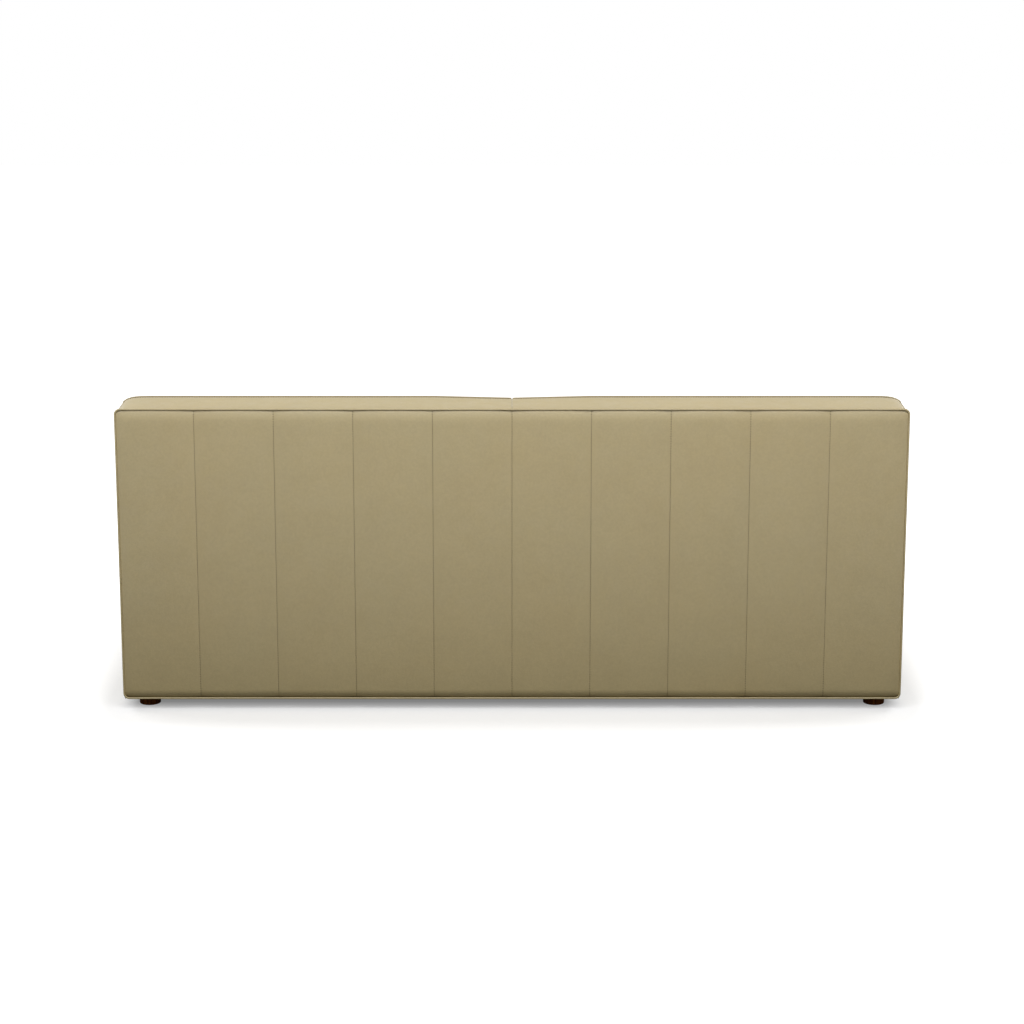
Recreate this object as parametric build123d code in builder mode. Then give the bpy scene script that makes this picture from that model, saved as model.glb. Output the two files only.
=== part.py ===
from build123d import *
import os
from math import cos, pi, radians, sin, sqrt, tan

# A two-seat leather sofa: its upholstery, the foam inside it and the wooden frame under both.
# Millimetres, +Z up. The seat faces -Y and the outside back faces +Y.
# The origin is on the floor under the middle. Left is -X and right is +X for someone facing the seat.

# Overall sizes
OVERALL_WIDTH = 2130.0
OVERALL_DEPTH = 880.0
REAR_HEIGHT = 840.0  # top of the welt over the outside back
TOP_DEPTH = 131.0  # strip over the top of the back, from its rear seam to its front seam
TOP_RISE = 11.0  # the strip's front seam above its rear seam
ARM_WIDTH = 212.0
ARM_HEIGHT = 620.0
SEAT_HEIGHT = 440.0  # seams along the top of the seat cushions
CUSHION_THICKNESS = 150.0
FOOT_HEIGHT = 30.0
RECLINE = 14.0  # degrees that the inside back leans

# Counts
REAR_PANELS = 10
CHANNELS_PER_SEAT = 4
SPRINGS_PER_SEAT = 4
SPRING_LEGS = 25
BACK_STRAPS = 3

# Clearances
GAP = 0.3  # between neighbouring pieces
SEAT_GAP = 1.0  # beside the seat cushions and the inside back
BOLT_GAP = 0.1  # around a bolt in its hole

# Leather, wadding and boards
LEATHER = 2.0
CUSHION_LEATHER = 3.0  # with its lining
PANEL_CROWN = 3.0  # swell of each outside back panel between its seams
WADDING = 5.0
BACK_BOARD = 5.0
SIDE_PANEL = 6.0
SIDE_EDGE = 2.0
TOP_PANEL = 8.0
TOP_TUCK = 1.5  # the strip's rear edge below the top of the welt
CENTRE_DIP = 5.0  # the strip's front edge at its centre seam
FRONT_END_DROP = 16.0  # the strip's front corners
REAR_END_DROP = 8.0  # the strip's rear corners
END_DROP_LENGTH = 150.0
END_DROP_POWER = 9
WELT_DIAMETER = 5.0
WELT_CORNER = 14.0
WELT_PROUD = 1.0
FACING = 10.0
FACING_CORNER = 14.0
FACING_EDGE = 4.0
FRONT_BORDER = 10.0
DUST_COVER = 1.5
DECK = 5.0

# Arms
ARM_CROWN = 4.0
ARM_EDGE = 18.0
ARM_LIP = 22.0  # the sleeve's turn down the outside
ARM_PAD_SIDE = 12.0
ARM_PAD_TOP = 24.0

# Inside back
BACK_PAD = 70.0  # foam behind the seam at the top of the inside back
PAD_CROWN = 18.0
PAD_CHANNEL_CROWN = 8.0
PAD_SIDE_SHARE = 0.6  # how much of the crown is left at the sides
EAR_SIDE_SHARE = 0.2
PAD_STATIONS = (-0.06, 0.08, 0.3, 0.55, 0.8, 1.08)  # shares of the way down the inside back
STRAP_WIDTH = 50.0
STRAP = 1.5

# Seat cushions
CUSHION_INSET = 2.0  # the cushion's front behind the arm facings
CUSHION_CROWN = 14.0
CUSHION_CHANNEL_CROWN = 7.0
CUSHION_DRAW = 5.0  # how far the sides pull in between the corners
CUSHION_SIDE_SHARE = 0.3
FRONT_ROLL = 45.0
REAR_ROLL = 16.0
BACK_CREASE = 32.0  # cushion's rear face in front of the inside back's seam plane
ZIP_LENGTH = 640.0
ZIP_WIDTH = 9.0
ZIP_TAPE = 2.4
ZIP_SINK = 0.2  # the zip's face below the cover
SLIDER = (11.0, 12.0, 4.0)
SLIDER_EDGE = 1.0
PULL = (6.0, 26.0, 1.6)
PULL_CORNER = 2.5

# Frame
RAIL = 25.0
PLY = 22.0
POST = 25.0
TOP_RAIL = 26.0
BASE_RAIL_HEIGHT = 78.0
FRONT_RAIL_HEIGHT = 160.0
REAR_SEAT_RAIL_HEIGHT = 90.0
CENTRE_RAIL_HEIGHT = 120.0
CENTRE_RAIL_DROP = 6.0  # under the rails that carry the springs
REAR_SEAT_RAIL_SETBACK = 58.0  # from the inside back's frame plane at deck height
BLOCK = 80.0
BLOCK_HEIGHT = 42.0

# Springs and clips
WIRE = 3.6
SPRING_WIDTH = 62.0
CLIP_HEIGHT = 6.0
CLIP_WIDTH = 18.0
CLIP_LENGTH = 14.0
CLIP_GAP = 0.2  # around the wire

# Feet and fasteners
FOOT_DIAMETER = 58.0
FOOT_INSET = 65.0  # foot centre from the outer faces
FOOT_EDGE = 2.5
GLIDE = 2.0
GLIDE_DIAMETER = 38.0
NAIL_DIAMETER = 4.0
NAIL_LENGTH = 9.0
BOLT_DIAMETER = 8.0
BOLT_IN_FOOT = 14.0
BOLT_TOP = 3.0  # past the tee nut
NUT_BARREL = 11.0
NUT_DEPTH = 12.0
NUT_FLANGE = 24.0
NUT_FLANGE_THICKNESS = 1.6

# Outside back, layer by layer from its rear face
HALF_WIDTH = OVERALL_WIDTH / 2
REAR_Y = OVERALL_DEPTH / 2
FRONT_Y = -OVERALL_DEPTH / 2
PANEL_PITCH = OVERALL_WIDTH / REAR_PANELS
SEAM_Y = REAR_Y - PANEL_CROWN
COVER_FRONT_Y = SEAM_Y - LEATHER
WADDING_REAR_Y = COVER_FRONT_Y - GAP
WADDING_FRONT_Y = WADDING_REAR_Y - WADDING
BOARD_REAR_Y = WADDING_FRONT_Y - GAP
BOARD_FRONT_Y = BOARD_REAR_Y - BACK_BOARD
FRAME_REAR_Y = BOARD_FRONT_Y - GAP

# The welt round the outside back, and the panels that end against it
WELT_RADIUS = WELT_DIAMETER / 2
WELT_Y = SEAM_Y + WELT_PROUD - WELT_RADIUS
WELT_X = HALF_WIDTH - WELT_RADIUS
WELT_LOW_Z = FOOT_HEIGHT + WELT_RADIUS
WELT_HIGH_Z = REAR_HEIGHT - WELT_RADIUS
PANEL_EDGE_Y = WELT_Y - WELT_RADIUS - GAP
COVER_X = HALF_WIDTH - WELT_DIAMETER - GAP
COVER_LOW_Z = FOOT_HEIGHT + WELT_DIAMETER + GAP
COVER_HIGH_Z = REAR_HEIGHT - WELT_DIAMETER - GAP
COVER_CORNER = WELT_CORNER - WELT_RADIUS - GAP

# The strip over the top of the back
TOP_REAR_Z = REAR_HEIGHT - TOP_TUCK
TOP_FRONT_Y = PANEL_EDGE_Y - TOP_DEPTH
TOP_FRONT_Z = TOP_REAR_Z + TOP_RISE
SIDE_INNER_X = HALF_WIDTH - SIDE_PANEL
TOP_END_X = SIDE_INNER_X - GAP
DROP_START_X = TOP_END_X - END_DROP_LENGTH

# Wadding and board, inside the side panels and under the strip
LINING_X = TOP_END_X
LINING_HIGH_Z = TOP_REAR_Z - REAR_END_DROP - TOP_PANEL - GAP

# The inside back's seam plane leans through the strip's front edge
LEAN = radians(RECLINE)
BACK_ORIGIN = Vector(0, TOP_FRONT_Y, TOP_FRONT_Z)
BACK_UP = Vector(0, sin(LEAN), cos(LEAN))
BACK_OUT = Vector(0, -cos(LEAN), sin(LEAN))

# Seat heights, from the cushion down to the rails
ARM_INNER_X = HALF_WIDTH - ARM_WIDTH
SEAT_EDGE_X = ARM_INNER_X - SEAT_GAP
SEAT_PITCH = ARM_INNER_X / CHANNELS_PER_SEAT
SEAT_BASE_Z = SEAT_HEIGHT - CUSHION_THICKNESS
DECK_TOP_Z = SEAT_BASE_Z - GAP
DECK_LOW_Z = DECK_TOP_Z - DECK
CLIP_TOP_Z = DECK_LOW_Z - GAP
CLIP_LOW_Z = CLIP_TOP_Z - CLIP_HEIGHT
WIRE_Z = CLIP_LOW_Z + CLIP_HEIGHT / 2
RAIL_TOP_Z = CLIP_LOW_Z - GAP
FRAME_LOW_Z = FOOT_HEIGHT + DUST_COVER + GAP

# Front of the frame
FRAME_FRONT_Y = FRONT_Y + FACING + GAP
RAIL_FRONT_Y = FRAME_FRONT_Y + FRONT_BORDER + GAP

# Arm construction, from the inside out and from the top down
ARM_PAD_X = ARM_INNER_X + LEATHER + GAP
INNER_PANEL_X = ARM_PAD_X + ARM_PAD_SIDE + GAP
INNER_PANEL_OUT_X = INNER_PANEL_X + PLY
POST_X = INNER_PANEL_OUT_X + GAP
ARM_PAD_TOP_Z = ARM_HEIGHT - LEATHER - GAP
ARM_BOARD_TOP_Z = ARM_PAD_TOP_Z - ARM_PAD_TOP - GAP
ARM_BOARD_LOW_Z = ARM_BOARD_TOP_Z - PLY
ARM_PANEL_TOP_Z = ARM_BOARD_LOW_Z - GAP
LIP_Z = ARM_HEIGHT - ARM_LIP
BASE_RAIL_X = TOP_END_X - RAIL
BASE_RAIL_TOP_Z = FRAME_LOW_Z + BASE_RAIL_HEIGHT
ARM_FRONT_BACK_Y = FRAME_FRONT_Y + PLY
POST_TOP_Z = TOP_REAR_Z - TOP_PANEL - TOP_RAIL - GAP

# Feet
FOOT_X = HALF_WIDTH - FOOT_INSET
FOOT_FRONT_Y = FRONT_Y + FOOT_INSET
FOOT_REAR_Y = REAR_Y - FOOT_INSET
BLOCK_TOP_Z = FRAME_LOW_Z + BLOCK_HEIGHT
FEET = {
    "front_left": (-FOOT_X, FOOT_FRONT_Y),
    "front_right": (FOOT_X, FOOT_FRONT_Y),
    "rear_left": (-FOOT_X, FOOT_REAR_Y),
    "rear_right": (FOOT_X, FOOT_REAR_Y),
}


def save(piece, name):
    piece.part.label = name
    export_step(piece.part, f"parts/{name}.step")


def save_pair(piece, name):
    """Writes the right-hand piece and its mirror image."""
    save(piece, f"{name}_right")
    with BuildPart() as twin:
        mirror(piece.part, about=Plane.YZ)
    save(twin, f"{name}_left")


def slab(x, y, z, mode=Mode.ADD):
    """A board between two limits on each axis."""
    middle = ((x[0] + x[1]) / 2, (y[0] + y[1]) / 2, (z[0] + z[1]) / 2)
    with Locations(middle):
        Box(x[1] - x[0], y[1] - y[0], z[1] - z[0], mode=mode)


def cross_plane(y):
    """A vertical plane across the sofa, with X to the right and Z up."""
    return Plane.XZ.offset(-y)


def back_y(z, out):
    """Where a plane parallel to the inside back stands at one height."""
    return TOP_FRONT_Y - out * cos(LEAN) + (z - TOP_FRONT_Z - out * sin(LEAN)) * tan(LEAN)


def swell(share):
    """The crown of a pad: nothing at its two ends and full over its middle."""
    inside = min(max(share, 0.0), 1.0)
    return 1 - (2 * inside - 1) ** 4


def arc_chain(points, sag):
    """Arcs from point to point of a line, each bulging up by the sag."""
    for (x0, y0), (x1, y1) in zip(points, points[1:]):
        middle = ((x0 + x1) / 2, (y0 + y1) / 2 + sag)
        ThreePointArc((x0, y0), middle, (x1, y1))


# Outside back: ten panels sewn into one cover, over wadding on a board

REAR_SEAMS = [PANEL_PITCH * (i - REAR_PANELS / 2) for i in range(1, REAR_PANELS)]


def back_layer(edge_x, rear_y, front_y=None):
    """One layer of the outside back; its front follows the panels unless it is flat."""
    seams = [-edge_x] + REAR_SEAMS + [edge_x]
    with BuildSketch(Plane.XY.offset(COVER_LOW_Z)) as layer:
        with BuildLine() as outline:
            arc_chain([(x, rear_y) for x in seams], PANEL_CROWN)
            if front_y is None:
                arc_chain([(x, rear_y - LEATHER) for x in seams], PANEL_CROWN)
                Line((-edge_x, rear_y), (-edge_x, rear_y - LEATHER))
                Line((edge_x, rear_y), (edge_x, rear_y - LEATHER))
            else:
                Polyline((-edge_x, rear_y), (-edge_x, front_y), (edge_x, front_y), (edge_x, rear_y))
        make_face(outline.edges())
    return layer.sketch


def round_corners(piece):
    """Rounds the four corners of an outside back layer like the welt round it."""
    ends = piece.edges().filter_by(Axis.Y).group_by(Axis.X)
    return ends[0] + ends[-1]


with BuildPart() as outside_back_cover:
    extrude(back_layer(COVER_X, SEAM_Y), amount=COVER_HIGH_Z - COVER_LOW_Z)
    fillet(round_corners(outside_back_cover), COVER_CORNER)

with BuildPart() as outside_back_wadding:
    extrude(back_layer(LINING_X, WADDING_REAR_Y, WADDING_FRONT_Y), amount=LINING_HIGH_Z - COVER_LOW_Z)
    fillet(round_corners(outside_back_wadding), COVER_CORNER)

with BuildPart() as outside_back_board:
    slab((-LINING_X, LINING_X), (BOARD_FRONT_Y, BOARD_REAR_Y), (COVER_LOW_Z, LINING_HIGH_Z))

with BuildPart() as outside_back_welt:
    with BuildSketch(Plane.XZ.offset(-WELT_Y)) as welt_loop:
        with Locations((0, (WELT_LOW_Z + WELT_HIGH_Z) / 2)):
            RectangleRounded(2 * WELT_X, WELT_HIGH_Z - WELT_LOW_Z, WELT_CORNER)
    with BuildSketch(Plane.YZ) as welt_section:
        with Locations((WELT_Y, WELT_HIGH_Z)):
            Circle(WELT_RADIUS)
    sweep(welt_section.sketch, path=welt_loop.sketch.faces()[0].outer_wire(), clean=False)

# Strip over the top of the back, in two lengths with a seam between them


def strip_heights(x):
    """Heights of the strip's rear and front edges, with its centre dip and rounded ends."""
    dip = CENTRE_DIP * max(0.0, 1 - x / PANEL_PITCH)
    drop = max(0.0, (x - DROP_START_X) / END_DROP_LENGTH) ** END_DROP_POWER
    return TOP_REAR_Z - REAR_END_DROP * drop, TOP_FRONT_Z - dip - FRONT_END_DROP * drop


STRIP_STATIONS = [PANEL_PITCH, DROP_START_X]
STRIP_STATIONS += [DROP_START_X + END_DROP_LENGTH * share for share in (0.6, 0.8, 0.9, 0.96, 1.0)]

with BuildPart() as top_panel:
    for x in [GAP / 2] + STRIP_STATIONS:
        rear_z, front_z = strip_heights(x)
        with BuildSketch(Plane.YZ.offset(x)):
            with BuildLine():
                Polyline(
                    (PANEL_EDGE_Y, rear_z),
                    (TOP_FRONT_Y, front_z),
                    (TOP_FRONT_Y, front_z - TOP_PANEL),
                    (PANEL_EDGE_Y, rear_z - TOP_PANEL),
                    close=True,
                )
            make_face()
    loft(ruled=True)

# The space over the strip's underside, which pads and rails stay out of
REACH = BACK_PAD + TOP_DEPTH
with BuildPart() as over_strip:
    for x in [0.0] + STRIP_STATIONS + [HALF_WIDTH]:
        rear_z, front_z = strip_heights(min(x, TOP_END_X))
        slope = (front_z - rear_z) / TOP_DEPTH
        low_z = rear_z - TOP_PANEL - GAP
        with BuildSketch(Plane.YZ.offset(x)):
            with BuildLine():
                Polyline(
                    (REAR_Y, low_z - slope * (REAR_Y - PANEL_EDGE_Y)),
                    (TOP_FRONT_Y - REACH, low_z + slope * (TOP_DEPTH + REACH)),
                    (TOP_FRONT_Y - REACH, low_z + REACH),
                    (REAR_Y, low_z + REACH),
                    close=True,
                )
            make_face()
    loft(ruled=True)

# Side panels, up the outside of the arm and the end of the back

with BuildPart() as side_panel:
    end_rear_z, end_front_z = strip_heights(TOP_END_X)
    ear_y = back_y(ARM_HEIGHT, -GAP)
    with BuildSketch(Plane.YZ.offset(SIDE_INNER_X)):
        with BuildLine():
            Polyline(
                (FRAME_FRONT_Y, FOOT_HEIGHT),
                (FRAME_FRONT_Y, LIP_Z - GAP),
                (ear_y, LIP_Z - GAP),
                (ear_y, ARM_HEIGHT),
                (back_y(end_front_z, -GAP), end_front_z),
                (PANEL_EDGE_Y, end_rear_z),
                (PANEL_EDGE_Y, FOOT_HEIGHT),
                close=True,
            )
        make_face()
    extrude(amount=SIDE_PANEL)
    fillet(side_panel.faces().sort_by(Axis.X)[-1].edges(), SIDE_EDGE)

# Arms: a leather sleeve over foam, and a facing across the front

ARM_REAR_Y = back_y(ARM_BOARD_TOP_Z, -BACK_PAD) - GAP
ARM_MIDDLE_X = (ARM_INNER_X + HALF_WIDTH) / 2


def arm_profile(inset):
    low_z = DECK_TOP_Z + GAP
    edge_z = ARM_HEIGHT - ARM_CROWN - inset
    left = ARM_INNER_X + inset
    right = HALF_WIDTH - inset
    with BuildSketch(cross_plane(ARM_REAR_Y)) as profile:
        with BuildLine():
            Polyline((left, edge_z), (left, low_z), (right, low_z), (right, edge_z))
            ThreePointArc((right, edge_z), (ARM_MIDDLE_X, ARM_HEIGHT - inset), (left, edge_z))
        make_face()
        fillet(profile.vertices().group_by(Axis.Y)[-1], ARM_EDGE - inset)
    return profile.sketch


ARM_LENGTH = ARM_REAR_Y - FRAME_FRONT_Y
UNDER_LIP = ((ARM_PAD_X + LEATHER, HALF_WIDTH + GAP), (FRAME_FRONT_Y, ARM_REAR_Y), (0.0, LIP_Z))

with BuildPart() as arm_cover:
    extrude(arm_profile(0.0), amount=ARM_LENGTH)
    extrude(arm_profile(LEATHER), amount=ARM_LENGTH, mode=Mode.SUBTRACT)
    slab(*UNDER_LIP, mode=Mode.SUBTRACT)
    slab(
        (TOP_END_X, HALF_WIDTH),
        (ear_y - GAP, ARM_REAR_Y),
        (LIP_Z - GAP, ARM_HEIGHT),
        mode=Mode.SUBTRACT,
    )

with BuildPart() as arm_pad:
    extrude(arm_profile(LEATHER + GAP), amount=ARM_LENGTH)
    slab(
        (INNER_PANEL_X - GAP, HALF_WIDTH),
        (FRAME_FRONT_Y, ARM_REAR_Y),
        (0.0, ARM_BOARD_TOP_Z + GAP),
        mode=Mode.SUBTRACT,
    )
    slab((TOP_END_X, HALF_WIDTH), (FRAME_FRONT_Y, ARM_REAR_Y), (0.0, LIP_Z), mode=Mode.SUBTRACT)
    slab((TOP_END_X, HALF_WIDTH), (ear_y - GAP, ARM_REAR_Y), (0.0, ARM_HEIGHT), mode=Mode.SUBTRACT)

with BuildPart() as arm_facing:
    with BuildSketch(cross_plane(FRONT_Y + FACING)) as facing_outline:
        with Locations((ARM_MIDDLE_X, (FOOT_HEIGHT + ARM_HEIGHT) / 2)):
            Rectangle(ARM_WIDTH, ARM_HEIGHT - FOOT_HEIGHT)
        fillet(facing_outline.vertices().group_by(Axis.Y)[-1], FACING_CORNER)
    extrude(amount=FACING)
    fillet(arm_facing.faces().sort_by(Axis.Y)[0].edges(), FACING_EDGE)

with BuildPart() as front_border:
    slab(
        (-INNER_PANEL_X + GAP, INNER_PANEL_X - GAP),
        (FRAME_FRONT_Y, FRAME_FRONT_Y + FRONT_BORDER),
        (FOOT_HEIGHT, DECK_LOW_Z - GAP),
    )
    fillet(front_border.faces().sort_by(Axis.Y)[0].edges(), FACING_EDGE)

# Inside back: four channels over each seat, and an ear over each arm

PAD_DROP = (TOP_FRONT_Z - SEAT_BASE_Z) / cos(LEAN)
PAD_SEAMS = [SEAT_GAP / 2] + [SEAT_PITCH * i for i in range(1, CHANNELS_PER_SEAT)] + [SEAT_EDGE_X]
PAD_SHARES = [PAD_SIDE_SHARE] + [1.0] * (CHANNELS_PER_SEAT - 1) + [PAD_SIDE_SHARE]
EAR_SEAMS = [SEAT_EDGE_X, TOP_END_X]
EAR_SHARES = [PAD_SIDE_SHARE, EAR_SIDE_SHARE]


def pad_form(seams, shares, inset, back_out, low_z):
    """A channelled pad on the inside back, cut level at its lower end."""
    xs = [seams[0] + inset] + seams[1:-1] + [seams[-1] - inset]
    with BuildPart() as form:
        for share in PAD_STATIONS:
            crown = swell(share)
            outs = [PAD_CROWN * crown * part - inset for part in shares]
            origin = BACK_ORIGIN - BACK_UP * (share * PAD_DROP)
            with BuildSketch(Plane(origin, x_dir=(1, 0, 0), z_dir=-BACK_UP)):
                with BuildLine() as outline:
                    arc_chain(list(zip(xs, outs)), PAD_CHANNEL_CROWN * (1 + crown) / 2)
                    Polyline(
                        (xs[-1], outs[-1]),
                        (xs[-1], back_out),
                        (xs[0], back_out),
                        (xs[0], outs[0]),
                    )
                make_face(outline.edges())
        loft()
        split(bisect_by=Plane.XY.offset(low_z), keep=Keep.TOP)
    return form.part


def inside_back(inset, back_out):
    """The seat's channels and the ear beside them."""
    seat_side = pad_form(PAD_SEAMS, PAD_SHARES, inset, back_out, DECK_TOP_Z + GAP)
    ear = pad_form(EAR_SEAMS, EAR_SHARES, inset, back_out, ARM_HEIGHT + GAP)
    return seat_side, ear


STRAP_OUT = -BACK_PAD + GAP
FOAM_OUT = STRAP_OUT + STRAP + GAP
cover_forms = inside_back(0.0, -BACK_PAD + STRAP + 2 * GAP)
hollow_forms = inside_back(LEATHER, -2 * BACK_PAD)
foam_forms = inside_back(LEATHER + GAP, FOAM_OUT)

with BuildPart() as inside_back_cover:
    add(cover_forms)
    add(hollow_forms, mode=Mode.SUBTRACT)
    add(over_strip.part, mode=Mode.SUBTRACT)

with BuildPart() as inside_back_foam:
    add(foam_forms)
    add(over_strip.part, mode=Mode.SUBTRACT)

# Seat cushions: four channels that roll over the front edge

CUSHION_FRONT_Y = FRONT_Y + CUSHION_INSET
CUSHION_REAR_Y = back_y(SEAT_BASE_Z, BACK_CREASE)
CUSHION_LENGTH = CUSHION_REAR_Y - CUSHION_FRONT_Y
CUSHION_SEAMS = [SEAT_GAP] + [SEAT_PITCH * i for i in range(1, CHANNELS_PER_SEAT)]
CUSHION_SEAMS += [SEAT_EDGE_X - SEAT_GAP]
CUSHION_SHARES = [CUSHION_SIDE_SHARE] + [1.0] * (CHANNELS_PER_SEAT - 1) + [CUSHION_SIDE_SHARE]
CUSHION_STATIONS = [FRONT_ROLL * share for share in (0.0, 0.04, 0.14, 0.32, 0.6, 1.0)]
CUSHION_STATIONS += [CUSHION_LENGTH * share for share in (0.2, 0.35, 0.5, 0.65, 0.8)]
CUSHION_STATIONS += [CUSHION_LENGTH - REAR_ROLL * share for share in (2.0, 0.4, 0.0)]


def roll_drop(distance, radius):
    """How far a rounded edge has fallen at a distance from its end."""
    inside = max(0.0, radius - distance)
    return radius - sqrt(radius**2 - inside**2)


def cushion_plane(distance, inset):
    """Stations stand upright, and the last one leans with the inside back."""
    if distance < CUSHION_LENGTH:
        squeeze = max(0.0, 1 - distance / FRONT_ROLL)
        station_y = CUSHION_FRONT_Y + distance + inset * squeeze
        return Plane((0, station_y, SEAT_BASE_Z), x_dir=(1, 0, 0), z_dir=(0, -1, 0))
    rear = Vector(0, CUSHION_REAR_Y, SEAT_BASE_Z) + BACK_OUT * inset
    return Plane(rear, x_dir=(1, 0, 0), z_dir=BACK_OUT)


def cushion_form(inset):
    with BuildPart() as form:
        for distance in CUSHION_STATIONS:
            share = distance / CUSHION_LENGTH
            crown = swell(share)
            draw = CUSHION_DRAW * sin(pi * share) + inset
            xs = [CUSHION_SEAMS[0] + draw] + CUSHION_SEAMS[1:-1] + [CUSHION_SEAMS[-1] - draw]
            drop = roll_drop(distance, FRONT_ROLL) + roll_drop(CUSHION_LENGTH - distance, REAR_ROLL)
            top = CUSHION_THICKNESS - drop - inset
            tops = [top + CUSHION_CROWN * crown * part for part in CUSHION_SHARES]
            with BuildSketch(cushion_plane(distance, inset)):
                with BuildLine() as outline:
                    arc_chain(list(zip(xs, tops)), CUSHION_CHANNEL_CROWN)
                    Polyline((xs[-1], tops[-1]), (xs[-1], inset), (xs[0], inset), (xs[0], tops[0]))
                make_face(outline.edges())
        loft(ruled=True)
    return form.part


# Zip across the middle of the cushion's rear face
ZIP_UP = CUSHION_THICKNESS / 2
ZIP_X = ARM_INNER_X / 2
ZIP_ORIGIN = Vector(ZIP_X, CUSHION_REAR_Y, SEAT_BASE_Z) + BACK_UP * ZIP_UP
ZIP_PLANE = Plane(ZIP_ORIGIN, x_dir=(-1, 0, 0), z_dir=-BACK_OUT)
SLIDER_REST = ZIP_LENGTH / 2 - SLIDER[0]

cushion_outside = cushion_form(0.0)
cushion_inside = cushion_form(CUSHION_LEATHER)
cushion_core = cushion_form(CUSHION_LEATHER + GAP)

with BuildPart() as seat_cover:
    add(cushion_outside)
    add(cushion_inside, mode=Mode.SUBTRACT)
    with BuildSketch(ZIP_PLANE):
        Rectangle(ZIP_LENGTH + 2 * GAP, ZIP_WIDTH + 2 * GAP)
    extrude(amount=-(CUSHION_LEATHER + GAP), mode=Mode.SUBTRACT)

with BuildPart() as seat_foam:
    add(cushion_core)

with BuildPart() as seat_zip:
    with BuildSketch(ZIP_PLANE.offset(-ZIP_SINK)):
        Rectangle(ZIP_LENGTH, ZIP_WIDTH)
    extrude(amount=-ZIP_TAPE)

with BuildPart() as zip_slider:
    with BuildSketch(ZIP_PLANE.offset(GAP)):
        with Locations((SLIDER_REST, 0)):
            Rectangle(SLIDER[0], SLIDER[1])
    extrude(amount=SLIDER[2])
    fillet(zip_slider.edges(), SLIDER_EDGE)
    with BuildSketch(ZIP_PLANE.offset(GAP + SLIDER[2] - PULL[2])):
        with Locations((SLIDER_REST, -PULL[1] / 2)):
            RectangleRounded(PULL[0], PULL[1], PULL_CORNER)
    extrude(amount=PULL[2])

# Deck under the cushions, and the cloth under the frame

with BuildPart() as seat_deck:
    slab(
        (-INNER_PANEL_X + GAP, INNER_PANEL_X - GAP),
        (FRAME_FRONT_Y, back_y(DECK_LOW_Z, -BACK_PAD) - GAP),
        (DECK_LOW_Z, DECK_TOP_Z),
    )

with BuildPart() as dust_cover:
    slab((-TOP_END_X, TOP_END_X), (RAIL_FRONT_Y, FRAME_REAR_Y), (FOOT_HEIGHT, FOOT_HEIGHT + DUST_COVER))
    with Locations(*[(x, y, FOOT_HEIGHT) for x, y in FEET.values()]):
        Cylinder(BOLT_DIAMETER / 2 + BOLT_GAP, 4 * DUST_COVER, mode=Mode.SUBTRACT)

# Frame

RAIL_X = INNER_PANEL_X - GAP
RAIL_BACK_Y = RAIL_FRONT_Y + RAIL
SEAT_RAIL_REAR_Y = back_y(DECK_LOW_Z, -BACK_PAD) - REAR_SEAT_RAIL_SETBACK + RAIL
SEAT_RAIL_FRONT_Y = SEAT_RAIL_REAR_Y - RAIL

with BuildPart() as front_rail:
    slab((-RAIL_X, RAIL_X), (RAIL_FRONT_Y, RAIL_BACK_Y), (RAIL_TOP_Z - FRONT_RAIL_HEIGHT, RAIL_TOP_Z))

with BuildPart() as rear_seat_rail:
    slab(
        (-RAIL_X, RAIL_X),
        (SEAT_RAIL_FRONT_Y, SEAT_RAIL_REAR_Y),
        (RAIL_TOP_Z - REAR_SEAT_RAIL_HEIGHT, RAIL_TOP_Z),
    )

with BuildPart() as centre_rail:
    slab(
        (-RAIL / 2, RAIL / 2),
        (RAIL_BACK_Y + GAP, SEAT_RAIL_FRONT_Y - GAP),
        (RAIL_TOP_Z - CENTRE_RAIL_DROP - CENTRE_RAIL_HEIGHT, RAIL_TOP_Z - CENTRE_RAIL_DROP),
    )

with BuildPart() as base_rear_rail:
    slab((-RAIL_X, RAIL_X), (FRAME_REAR_Y - RAIL, FRAME_REAR_Y), (FRAME_LOW_Z, BASE_RAIL_TOP_Z))

with BuildPart() as base_side_rail:
    slab(
        (BASE_RAIL_X, TOP_END_X),
        (ARM_FRONT_BACK_Y + GAP, FRAME_REAR_Y),
        (FRAME_LOW_Z, BASE_RAIL_TOP_Z),
    )

with BuildPart() as inner_arm_panel:
    slab(
        (INNER_PANEL_X, INNER_PANEL_OUT_X),
        (FRAME_FRONT_Y, FRAME_REAR_Y),
        (FRAME_LOW_Z, ARM_PANEL_TOP_Z),
    )

with BuildPart() as arm_front_board:
    slab(
        (POST_X, TOP_END_X),
        (FRAME_FRONT_Y, ARM_FRONT_BACK_Y),
        (FRAME_LOW_Z, ARM_PANEL_TOP_Z),
    )

with BuildPart() as arm_top_board:
    slab(
        (INNER_PANEL_X, TOP_END_X),
        (FRAME_FRONT_Y, back_y(ARM_BOARD_LOW_Z, -BACK_PAD) - GAP),
        (ARM_BOARD_LOW_Z, ARM_BOARD_TOP_Z),
    )


def post_outline(low_z, x):
    """A back post's side view: upright behind, leaning with the inside back in front."""
    with BuildSketch(Plane.YZ.offset(x)) as outline:
        with BuildLine():
            Polyline(
                (back_y(low_z, -BACK_PAD), low_z),
                (FRAME_REAR_Y, low_z),
                (FRAME_REAR_Y, POST_TOP_Z),
                (back_y(POST_TOP_Z, -BACK_PAD), POST_TOP_Z),
                close=True,
            )
        make_face()
    return outline.sketch


with BuildPart() as back_post:
    extrude(post_outline(FRAME_LOW_Z, POST_X), amount=POST)

with BuildPart() as back_post_centre:
    extrude(post_outline(BASE_RAIL_TOP_Z + GAP, -POST / 2), amount=POST)

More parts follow.
